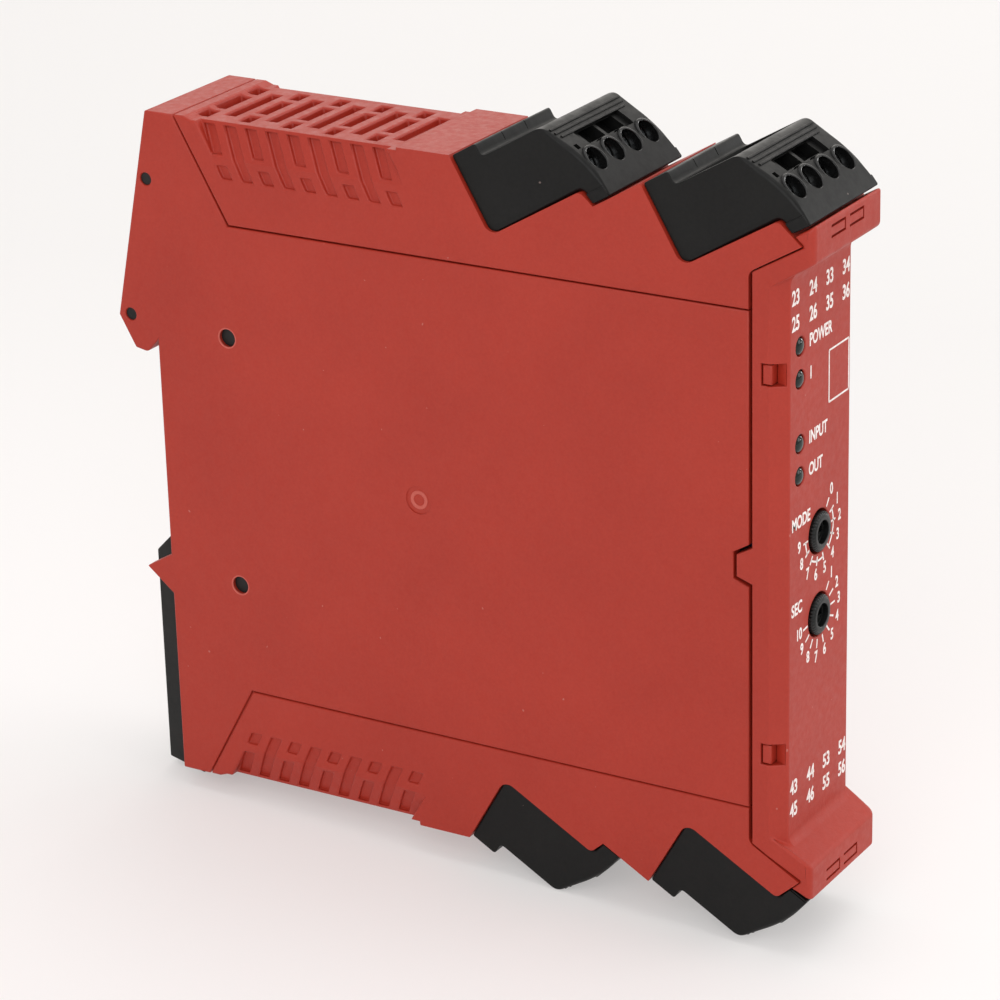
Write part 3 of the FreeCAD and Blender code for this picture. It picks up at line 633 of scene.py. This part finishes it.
print("plug bodies cut:", len(plugMesh.polygons), "faces")


def sideBox(left, right, rear, front, low, high):  # closed block in side-view numbers
    corners = np.array([(rear, low), (front, low), (front, high), (rear, high)])
    return carried(corners, (left, right), fromSide)


# latch guides are low rails here: behind the side's rear edge the photograph shows the latch alone
guideTop = dict(inner=6.4, outer=9.6, span=(-6.0, -1.2, -60.0, -26.0))
guideSides = ((-guideTop["outer"], -guideTop["inner"]), (guideTop["inner"], guideTop["outer"]))
guideTool = gridMesh("tool", [sideBox(*side, *guideTop["span"]) for side in guideSides])

# round holes in the near side; rim and under give the radius and depth of the painted shade disc in each
sideHoles = dict(
    rearUpper=dict(depth=-0.55, level=43.7, rim=0.98, under=0.35),
    rearLower=dict(depth=-4.9, level=21.5, rim=0.98, under=0.35),
    pinUpper=dict(depth=13.0, level=20.35, rim=1.48, under=0.75),
    pinLower=dict(depth=13.0, level=-20.35, rim=1.48, under=0.75),
)

# gate mark: a shallow round recess in the near side with a ring in it
gate = dict(depth=46.5, level=0.0, recess=2.25, sunk=0.16, past=1.0,
            ring=dict(outer=1.5, inner=0.9, low=-0.4, proud=-0.01, edge=0.2, turns=72))


def gateBar():  # round bar across the near side: depth and level go round at the recess's radius
    angle = fullTurn(gate["ring"]["turns"])
    across = np.array([[-gate["past"]], [gate["sunk"]]]) - module["halfWidth"]
    depth = gate["depth"] + gate["recess"] * np.cos(angle)
    return fromSide(across, depth, gate["level"] + gate["recess"] * np.sin(angle))


# jog of the front seam: its tab narrows toward the tip; each row is a depth, its level and the new level
jog = dict(base=((101.8, 2.0, 3.15), (101.8, -2.7, -3.35), (99.3, 2.0, 1.65), (99.3, -2.7, -2.45)),
           cap=((102.3, 1.5, 2.75), (102.3, -2.2, -2.9), (99.8, 1.5, 1.35), (99.8, -2.2, -2.05)))

# engraved brackets of the lips are cut deeper, so that they read as dark lines
bracket = dict(lefts=(-5.52, 0.28), width=4.54, level=49.547, halfHeight=0.97, line=0.39,
               depths=(110.8, 113.0))
bars, posts = [], []
for left in bracket["lefts"]:
    for middle in (-bracket["level"], bracket["level"]):
        low, high = middle - bracket["halfHeight"], middle + bracket["halfHeight"]
        right = left + bracket["width"]
        bars.append(sideBox(left, right, *bracket["depths"], low, low + bracket["line"]))
        bars.append(sideBox(left, right, *bracket["depths"], high - bracket["line"], high))
        posts.append(sideBox(right - bracket["line"], right, *bracket["depths"], low, high))
bracketTools = [gridMesh("tool", bars), gridMesh("tool", posts)]

# planes through the holes of each shell
middlePlane = (0, 0.0)
shellCuts = dict(cover=dict(x=(-6.6, 6.6), levels=(51.4, 46.6)),
                 cap=dict(x=-6.3, levels=(29.2, -29.2, 49.4, -49.4)))
cuts = [depthPlane(sideHoles[hole]["depth"]) for hole in ("pinUpper", "rearUpper", "rearLower")]
cuts += [depthPlane(gate["depth"]), middlePlane]
baseTools = [guideTool, gridMesh("tool", [gateBar()])]
softened("housing_base", edges["housing"], cuts, outside, baseTools, jog["base"])
for node, sign in (("top_cover", 1), ("bottom_cover", -1)):
    cuts = [middlePlane] + [(0, x) for x in shellCuts["cover"]["x"]]
    cuts += [levelPlane(sign * height) for height in shellCuts["cover"]["levels"]]
    softened(node, edges["cover"], cuts, coverOutside)
cuts = [middlePlane, (0, shellCuts["cap"]["x"])]
cuts += [levelPlane(height) for height in shellCuts["cap"]["levels"]]
softened("front_cap", edges["lip"], cuts, capOutside, bracketTools, jog["cap"])
softened("rail_latch", edges["housing"], [middlePlane], everywhere)
print("mould edges rounded")

# collars round the screw holes of a plug: a ring profile of (radius, along) turned about the hole's axis
collar = dict(outer=2.28, inner=1.82, front=20.22, lean=-0.27, rear=16.2, leanFrom=18.0, edge=0.2, turns=64)


def collarRing(name, x):
    # front end leans back with height: along = front + lean * (above - level)
    corners = [(collar["inner"], collar["rear"]), (collar["outer"], collar["rear"]),
               (collar["outer"], collar["front"]), (collar["inner"], collar["front"])]
    profile = loopProfile(corners, collar["edge"])
    angle = fullTurn(collar["turns"]).T
    radius, along = profile.T
    above = opening["level"] + radius * np.sin(angle)
    lean = collar["lean"] * (along > collar["leanFrom"])
    ring = fromSeat(name, x + radius * np.cos(angle), along + lean * (above - opening["level"]), above)
    return np.concatenate([ring, ring[:1]])


# clamp screws: a flat head whose face drops into a straight slot
screw = dict(radius=1.72, front=18.3, rear=12.8, edge=0.18, slot=0.28, sink=0.8, slotWall=0.06, foot=0.4,
             middle=0.02, turns=72, rings=22)
screwTurn = dict(upper_rear=(20, 75, 48, 110), upper_front=(35, 95, 12, 60), lower_rear=(80, 15, 60, 130),
                 lower_front=(5, 50, 100, 150))


def screwHead(name, x, turn):
    # face height = front less a rounded rim, less the slot where the distance to its middle line is small
    radius = np.linspace(screw["radius"], screw["middle"], screw["rings"])
    radius = np.concatenate([[screw["radius"]] * 2, radius])[:, None]
    angle = fullTurn(screw["turns"])
    rim = np.clip((radius - screw["radius"] + screw["edge"]) / screw["edge"], 0, 1)
    face = screw["front"] - screw["edge"] * rim ** 2
    aside = np.abs(radius * np.sin(angle - math.radians(turn)))
    slotShare = np.clip((screw["slot"] - aside) / screw["slotWall"], 0, 1)
    along = face - screw["sink"] * slotShare
    along[0] = screw["rear"]
    along[1] = screw["rear"] + screw["foot"]
    return fromSeat(name, x + radius * np.cos(angle), along, opening["level"] + radius * np.sin(angle))


# grip ribs: low rounded bars across the upper slope of a plug; each row is level, left, right
ribs = dict(rows=((8.0, -9.4, 8.7), (8.75, -9.9, 9.5), (9.5, -10.0, 9.9)), width=0.42, height=0.16, root=0.3,
            edge=0.12, stations=3)
toe = dict(corners=[(18.3, -2.3), (21.2, -2.3), (20.97, -0.75), (17.95, -0.75)], edge=0.12, root=0.3,
           proud=0.22)


def gripRib(name, level, left, right):  # rectangle across the slope with rounded corners, carried along x
    low, high = slopeEnds()
    slope = (high - low) / np.linalg.norm(high - low)
    outward = np.array([slope[1], -slope[0]])
    middle = np.array([slopeAlong(level), level])
    reach = slope * ribs["width"] / 2
    corners = [middle - reach - outward * ribs["root"], middle + reach - outward * ribs["root"],
               middle + reach + outward * ribs["height"], middle - reach + outward * ribs["height"]]
    profile = loopProfile(corners, ribs["edge"])
    stations = np.linspace(left, right, ribs["stations"])
    return carried(profile, stations, partial(fromSeat, name))


def toePad(name, side):  # low pad on the side of the toe, whose upper edge makes a ledge
    profile = loopProfile(toe["corners"], toe["edge"])
    ends = side * (plugBody["halfWidth"] + np.array([-toe["root"], toe["proud"]]))
    return carried(profile, np.sort(ends), partial(fromSeat, name))


for name in plugNames:
    body = bodyOf(name + "_plug")
    mesh = gridMesh(name + "_collars", [collarRing(name, x) for x in seat["poles"]], caps=False)
    addPiece(name + "_collars", mesh, "collarBlack", body)
    heads = [screwHead(name, x, turn) for x, turn in zip(seat["poles"], screwTurn[name])]
    addPiece(name + "_screws", gridMesh(name + "_screws", heads, poles=(False, True)), "screwZinc", body)
    grips = [gripRib(name, *row) for row in ribs["rows"]] + [toePad(name, side) for side in (-1, 1)]
    addPiece(name + "_ribs", gridMesh(name + "_ribs", grips), "plugBlack", body)
print("plugs finished")

# set dials: knurled rim, cone, flat ring and a round well with a slot; each ring is a radius and a height
dial = dict(
    rings=((3.05, -3.6), (3.05, -0.6), (3.05, 0.0), (3.05, 0.22), (3.0, 0.32), (2.76, 0.48), (2.5, 0.6),
           (2.44, 0.64), (2.1, 0.64), (1.86, 0.64), (1.78, 0.58), (1.76, 0.2), (1.74, -0.26), (1.68, -0.3)),
    well=(1.6, 0.03, 16), wellFloor=-0.3, turns=204, notches=34, notch=0.18, wave=(1.6, 0.35), knurlFrom=2.62,
    knurlRun=0.3, knurlFoot=-0.3, slot=0.42, slotWall=0.08, slotReach=1.66, slotFloor=-1.0,
    levels=dict(range_dial=2.3, time_dial=-10.7))


def dialSurface(node):
    # rings turned about the axis; the rim's radius drops at each notch and the well holds a slot
    inner = np.linspace(*dial["well"])
    radius, height = np.array(dial["rings"]).T
    radius = np.concatenate([radius, inner])[:, None]
    height = np.concatenate([height, np.full(len(inner), dial["wellFloor"])])[:, None]
    angle = fullTurn(dial["turns"])
    gain, offset = dial["wave"]
    wave = np.clip(np.cos(dial["notches"] * angle) * gain - offset, 0, 1)
    knurled = np.clip((radius - dial["knurlFrom"]) / dial["knurlRun"], 0, 1) * (height > dial["knurlFoot"])
    rimRadius = radius - dial["notch"] * wave * knurled
    aside = np.abs(radius * np.sin(angle))
    slotShare = np.clip((dial["slot"] - aside) / dial["slotWall"], 0, 1) * (radius < dial["slotReach"])
    height = height + slotShare * (dial["slotFloor"] - dial["wellFloor"])
    level = dial["levels"][node] + rimRadius * np.sin(angle)
    return fromSide(rimRadius * np.cos(angle), module["panelDepth"] + height, level)


for node in dial["levels"]:
    mesh = gridMesh(node + "_knob", [dialSurface(node)], poles=(False, True))
    knob = addPiece(node + "_knob", mesh, "dialBlack", bodyOf(node))
    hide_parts(node)
print("dials made")

# light domes in their holes: a short barrel that closes in a dome
dome = dict(radius=1.36, foot=-2.1, shoulder=-0.55, top=0.28, x=-6.3,
            levels=dict(power=32.4, state=27.5, input=17.8, output=12.9), turns=48, rings=14, middle=0.02)


def domeSurface(level):
    # barrel up to the shoulder, then height = shoulder + rise * cos(a), radius * sin(a)
    bend = np.linspace(np.pi / 2, dome["middle"], dome["rings"])
    radius = np.concatenate([[dome["radius"]], dome["radius"] * np.sin(bend)])[:, None]
    rise = dome["top"] - dome["shoulder"]
    height = np.concatenate([[dome["foot"]], dome["shoulder"] + rise * np.cos(bend)])[:, None]
    angle = fullTurn(dome["turns"])
    across = dome["x"] + radius * np.cos(angle)
    return fromSide(across, module["panelDepth"] + height, level + radius * np.sin(angle))


for light, level in dome["levels"].items():
    mesh = gridMesh(light + "_dome", [domeSurface(level)], poles=(False, True))
    addPiece(light + "_dome", mesh, "lightPipe", bodyOf(light + "_light"))
print("light domes made")

# print on the panel: letters and strokes a hair above the plastic
ink = dict(lift=0.03, thick=0.03, stroke=0.3, narrow=0.78, capHeight=0.72, weight=0.035)


def stroke(points, width):  # flat strip of even width along a line of (x, level) points
    points = np.array(points, float)
    run = np.gradient(points, axis=0)
    run /= np.linalg.norm(run, axis=1, keepdims=True)
    aside = np.stack([-run[:, 1], run[:, 0]], -1) * width / 2
    outline = np.stack([points - aside, points + aside], 1)
    front = fromSide(outline[..., 0], module["panelDepth"] + ink["lift"], outline[..., 1])
    rear = fromSide(outline[..., 0], module["panelDepth"] + ink["lift"] - ink["thick"], outline[..., 1])
    return np.stack([front[:, 0], front[:, 1], rear[:, 1], rear[:, 0]], 1)


def letters(text, x, level, height, align="CENTER"):  # text made a mesh, then laid on the panel
    curve = bpy.data.curves.new("text", "FONT")
    curve.body = text
    curve.size = height / ink["capHeight"]
    curve.offset = ink["weight"] * height
    curve.align_x = align
    curve.align_y = "CENTER"
    curve.extrude = ink["thick"] / 2
    holder = bpy.data.objects.new("text", curve)
    bpy.context.scene.collection.objects.link(holder)
    bpy.context.view_layer.update()
    mesh = bpy.data.meshes.new_from_object(holder.evaluated_get(bpy.context.evaluated_depsgraph_get()))
    bpy.data.objects.remove(holder)
    across, up, out = pointsOf(mesh).T
    middle = module["panelDepth"] + ink["lift"] - ink["thick"] / 2
    placed = fromSide(x + across * ink["narrow"], middle + out, level + up)
    mesh.vertices.foreach_set("co", placed.ravel())
    return mesh


def joined(name, meshes):  # one mesh from several
    whole = bmesh.new()
    for mesh in meshes:
        whole.from_mesh(mesh)
    bmesh.ops.recalc_face_normals(whole, faces=whole.faces)
    made = bpy.data.meshes.new(name)
    whole.to_mesh(made)
    whole.free()
    return made


def onDial(level, degrees, radius):  # point at a clock angle round a dial
    turn = math.radians(degrees)
    return radius * math.sin(turn), level + radius * math.cos(turn)


terminals = dict(columns=(-7.9, -2.45, 2.75, 8.0), height=2.2,
                 rows={40.0: "23 24 33 34", 36.2: "25 26 35 36", -35.2: "43 44 53 54", -38.8: "45 46 55 56"})
captions = dict(height=1.9, x=-3.6, words=dict(power="POWER", state="1", input="INPUT", output="OUT"))
dialWords = dict(height=1.9, x=-8.9, words={6.0: "MODE", -7.2: "SEC"})
scales = dict(lower=dict(level=dial["levels"]["time_dial"], first=38.0, pitch=25.0, start=1),
              upper=dict(level=dial["levels"]["range_dial"], first=36.0, pitch=25.7, start=0))
scaleLook = dict(count=10, height=1.75, radius=6.5, tick=(3.75, 5.15),
                 arc=4.45, arcSteps=25, arcs=((1, 4), (5, 7), (8, 9)))  # arcs join these numbers
frameMark = dict(left=2.75, right=9.1, low=21.2, high=29.0, stroke=0.28)


def scaleTurns(scale):  # clock angles of a scale's numbers
    return [scale["first"] + scale["pitch"] * index for index in range(scaleLook["count"])]


words = []
for level, row in terminals["rows"].items():
    for x, text in zip(terminals["columns"], row.split()):
        words.append(letters(text, x, level, terminals["height"]))
for light, text in captions["words"].items():
    words.append(letters(text, captions["x"], dome["levels"][light], captions["height"], "LEFT"))
for level, text in dialWords["words"].items():
    words.append(letters(text, dialWords["x"], level, dialWords["height"], "LEFT"))
for scale in (scales["upper"], scales["lower"]):
    for index, turn in enumerate(scaleTurns(scale)):
        x, level = onDial(scale["level"], turn, scaleLook["radius"])
        words.append(letters(str(scale["start"] + index), x, level, scaleLook["height"]))
addPiece("panel_numbers", joined("panel_numbers", words), "whitePrint", "housing")

lines = []
for scale in scales.values():
    for turn in scaleTurns(scale):
        tick = [onDial(scale["level"], turn, radius) for radius in scaleLook["tick"]]
        lines.append(stroke(tick, ink["stroke"]))
turns = scaleTurns(scales["upper"])
for first, last in scaleLook["arcs"]:
    steps = np.linspace(turns[first], turns[last], scaleLook["arcSteps"])
    arc = [onDial(scales["upper"]["level"], turn, scaleLook["arc"]) for turn in steps]
    lines.append(stroke(arc, ink["stroke"]))
markCorners = [(frameMark["left"], frameMark["low"]), (frameMark["right"], frameMark["low"]),
               (frameMark["right"], frameMark["high"]), (frameMark["left"], frameMark["high"])]
for corner, following in zip(markCorners, markCorners[1:] + markCorners[:1]):
    lines.append(stroke([corner, following], frameMark["stroke"]))
addPiece("panel_lines", gridMesh("panel_lines", lines), "whitePrint", "housing")
print("print laid on the panel")

# painted highlight: pale rings round the pin holes, flush with the near side
holeRimHighlight = dict(outer=1.72, inner=1.42, low=-0.34, proud=0.0, edge=0.14, turns=72)


def sideRing(look, depth, level):
    # rounded profile of (radius, height above the near side) turned about an axis across the module
    corners = [(look["inner"], look["low"]), (look["outer"], look["low"]), (look["outer"], look["proud"]),
               (look["inner"], look["proud"])]
    radius, height = loopProfile(corners, look["edge"]).T
    angle = fullTurn(look["turns"]).T
    across = -module["halfWidth"] - height
    ring = fromSide(across, depth + radius * np.cos(angle), level + radius * np.sin(angle))
    return np.concatenate([ring, ring[:1]])


mesh = gridMesh("gate_mark", [sideRing(gate["ring"], gate["depth"], gate["level"])], caps=False)
addPiece("gate_mark", mesh, "housingPale", "housing")
# painted highlight round each pin hole
pinHoles = [sideHoles[hole] for hole in ("pinUpper", "pinLower")]
rims = [sideRing(holeRimHighlight, hole["depth"], hole["level"]) for hole in pinHoles]
mesh = gridMesh("hole_rim_highlights", rims, caps=False)
addPiece("hole_rim_highlights", mesh, "housingPale", "housing")

# lip inside the lower seam: strips a little below the sides that close the gap to a shallow groove
seamLip = dict(under=0.5, thick=0.5, half=0.3, path=((101.4, -38.3), (14.2, -38.3), (5.3, -54.1)))
strips = []
for start, end in zip(np.array(seamLip["path"][:-1]), np.array(seamLip["path"][1:])):
    run = (end - start) / np.linalg.norm(end - start)
    aside = np.array([-run[1], run[0]]) * seamLip["half"]
    corners = np.array([start + aside, end + aside, end - aside, start - aside])
    outer = module["halfWidth"] - seamLip["under"]
    for side in (-1, 1):
        ends = np.sort([side * outer, side * (outer - seamLip["thick"])])
        strips.append(carried(corners, ends, fromSide))
addPiece("seam_lips", gridMesh("seam_lips", strips), "housingRed", "housing")

# snap ramps: beside each snap tongue the cap's window rises to the surface along a slope
ramp = dict(rear=105.4, front=107.0, inner=8.7, deep=9.3, flush=9.86, level=29.2, halfHeight=1.62)
rampDepth = np.array([ramp[key] for key in ("rear", "rear", "front", "front")])
rampAcross = np.array([ramp[key] for key in ("inner", "deep", "flush", "inner")])
rampRise = np.array([[-ramp["halfHeight"]], [ramp["halfHeight"]]])
ramps = [fromSide(side * rampAcross, rampDepth, middle + rampRise)
         for side in (-1, 1) for middle in (-ramp["level"], ramp["level"])]
addPiece("snap_ramps", gridMesh("snap_ramps", ramps), "housingRed", "housing")

# painted shade: black discs just below the near side in its round holes, standing in for the dark inside deep
# holes
holeShade = dict(thick=0.5, inner=0.5, middle=0.02, turns=32)


def shadeDisc(hole):  # painted shade: black disc below the side with a rim that goes down by its thickness
    radius = np.array([hole["rim"], hole["rim"], holeShade["inner"], holeShade["middle"]])[:, None]
    inset = hole["under"] + np.array([holeShade["thick"], 0.0, 0.0, 0.0])[:, None]
    angle = fullTurn(holeShade["turns"])
    depth = hole["depth"] + radius * np.cos(angle)
    return fromSide(inset - module["halfWidth"], depth, hole["level"] + radius * np.sin(angle))


mesh = gridMesh("hole_shade_discs", [shadeDisc(hole) for hole in sideHoles.values()], poles=(False, True))
addPiece("hole_shade_discs", mesh, "latchBlack", "housing")
print("rims, seam and ramps set")

# floor: a pale sheet that leans with the module's stance and bends up far behind
floor = dict(reach=1.6, rear=1.5, rise=1.2, bend=0.5, half=2.2, slope=0.03911, touch=(-0.01637, 0.0),
             steps=60, bendSteps=16, acrossSteps=40)
# near and far floor colours: the far one is darker, as painted shade
paper = dict(cloud=1.7, fibre=900.0, rough=(0.7, 0.85), gloss=0.2, near=(0.87, 0.842, 0.836, 1),
             far=(0.745, 0.732, 0.725, 1), farRun=0.26, lean=0.3, farShare=0.9,
             glow=(0.965, 0.945, 0.935, 1), glowShare=0.38, glowRays=("Camera", "Glossy", "Transmission"))


def floorSheet():
    # height = slope of the stance, plus a quarter circle at the far end
    run = np.linspace(-floor["reach"], floor["rear"], floor["steps"])
    turn = np.linspace(0, np.pi / 2, floor["bendSteps"])[1:]
    y = np.concatenate([run, floor["rear"] + floor["bend"] * np.sin(turn), [floor["rear"] + floor["bend"]]])
    z = np.concatenate([0 * run, floor["bend"] * (1 - np.cos(turn)), [floor["bend"] + floor["rise"]]])
    z = z + floor["slope"] * (y - floor["touch"][0]) + floor["touch"][1]
    x = np.linspace(-floor["half"], floor["half"], floor["acrossSteps"])
    return np.stack(np.broadcast_arrays(x[None, :], y[:, None], z[:, None]), -1)


def paperSweep(name):
    # painted shade: the colour darkens to the right and farther back, standing in for the light's fall-off;
    # camera, glossy and transmitted rays also see a share of plain glow
    made, shader, wire, place = newMaterial(name)
    cloud = noise(wire, place, paper["cloud"])
    fibre = noise(wire, place, paper["fibre"])
    x, y = (wire.node("ShaderNodeSeparateXYZ", None, {0: place}, axis) for axis in "XY")
    far = (x + y * paper["lean"]).spread(0.0, paper["farRun"])
    tone = cloud * (1 - paper["farShare"]) + far * paper["farShare"]
    feed(shader, wire, Base_Color=tone.mixed(paper["near"], paper["far"]),
         Roughness=fibre.spread(*noiseSpan, *paper["rough"]), Specular_IOR_Level=paper["gloss"])
    rays = [wire.node("ShaderNodeLightPath", take=f"Is {kind} Ray") for kind in paper["glowRays"]]
    seen = sum(rays[1:], rays[0]) * paper["glowShare"]
    glow = wire.node("ShaderNodeEmission", None, {"Color": paper["glow"]})
    sheet = Wire(wire.tree, shader.outputs[0])
    blend = wire.node("ShaderNodeMixShader", None, {0: seen, 1: sheet, 2: glow})
    wire.tree.links.new(blend.socket, wire.tree.nodes["Material Output"].inputs[0])
    return made


sweepMesh = gridMesh("paper_sweep", [floorSheet()], closedAcross=False, caps=False)
sweepMesh.materials.append(paperSweep("paperSweep"))
sweep = bpy.data.objects.new("paper_sweep", sweepMesh)
bpy.context.scene.collection.objects.link(sweep)
print("floor laid")

# soft studio light
studio = dict(colour=(1.0, 0.985, 0.97, 1), strength=0.68)
world = bpy.data.worlds.new("studio")
world.use_nodes = True
world.node_tree.nodes["Background"].inputs["Color"].default_value = studio["colour"]
world.node_tree.nodes["Background"].inputs["Strength"].default_value = studio["strength"]
bpy.context.scene.world = world
lamps = dict(
    overhead=dict(place=(0.1, -0.1, 1.4), aim=(0, 0, 0.05), size=1.2, power=5.0),
    leftSide=dict(place=(-1.3, -0.45, 0.8), aim=(0, 0, 0.06), size=1.3, power=9.2),
    rightSide=dict(place=(1.25, -0.15, 0.8), aim=(0, 0, 0.08), size=1.2, power=1.8, tint=(1.0, 0.96, 0.91)),
    rightRear=dict(place=(1.25, 0.55, 0.6), aim=(0, 0, 0.08), size=1.2, power=4.0, tint=(1.0, 0.95, 0.88)),
    key=dict(place=(0.95, -0.9, 0.22), aim=(0, 0, 0.06), size=0.1, power=0.6),
    glint=dict(place=(1.15, -0.3, 0.2), aim=(0, 0, 0.09), size=0.14, power=0.9),
    frontSide=dict(place=(0.6, -1.3, 0.7), aim=(0, 0, 0.06), size=0.9, power=5.0),
)
for name, lamp in lamps.items():
    light = bpy.data.lights.new(name, "AREA")
    light.shape = "DISK"
    light.size = lamp["size"]
    light.energy = lamp["power"]
    light.color = lamp.get("tint", (1.0, 1.0, 1.0))
    holder = bpy.data.objects.new(name, light)
    holder.location = lamp["place"]
    aim = Vector(lamp["aim"]) - Vector(lamp["place"])
    holder.rotation_euler = aim.to_track_quat("-Z", "Y").to_euler()
    bpy.context.scene.collection.objects.link(holder)
bpy.context.scene.view_settings.view_transform = "Standard"

# camera: where the photograph was taken from
stand = dict(place=(-0.45320, -0.27713, 0.26813), azimuth=-58.6982, elevation=21.6427, roll=-1.5316,
             lens=135.957, sensor=36.0, nearest=0.01)
azimuth, elevation, roll = (math.radians(stand[key]) for key in ("azimuth", "elevation", "roll"))
away = Vector((math.sin(azimuth), -math.cos(azimuth), 0))
back = away * math.cos(elevation) + Vector((0, 0, math.sin(elevation)))
flat = Vector((math.cos(azimuth), math.sin(azimuth), 0))
upward = back.cross(flat)
right = flat * math.cos(roll) + upward * math.sin(roll)
up = upward * math.cos(roll) - flat * math.sin(roll)
camera = bpy.data.cameras.new("camera")
camera.sensor_width = stand["sensor"]
camera.lens = stand["lens"]
camera.clip_start = stand["nearest"]
holder = bpy.data.objects.new("camera", camera)
holder.matrix_world = Matrix.Translation(stand["place"]) @ Matrix((right, up, back)).transposed().to_4x4()
bpy.context.scene.collection.objects.link(holder)
bpy.context.scene.camera = holder
print("light and camera set")
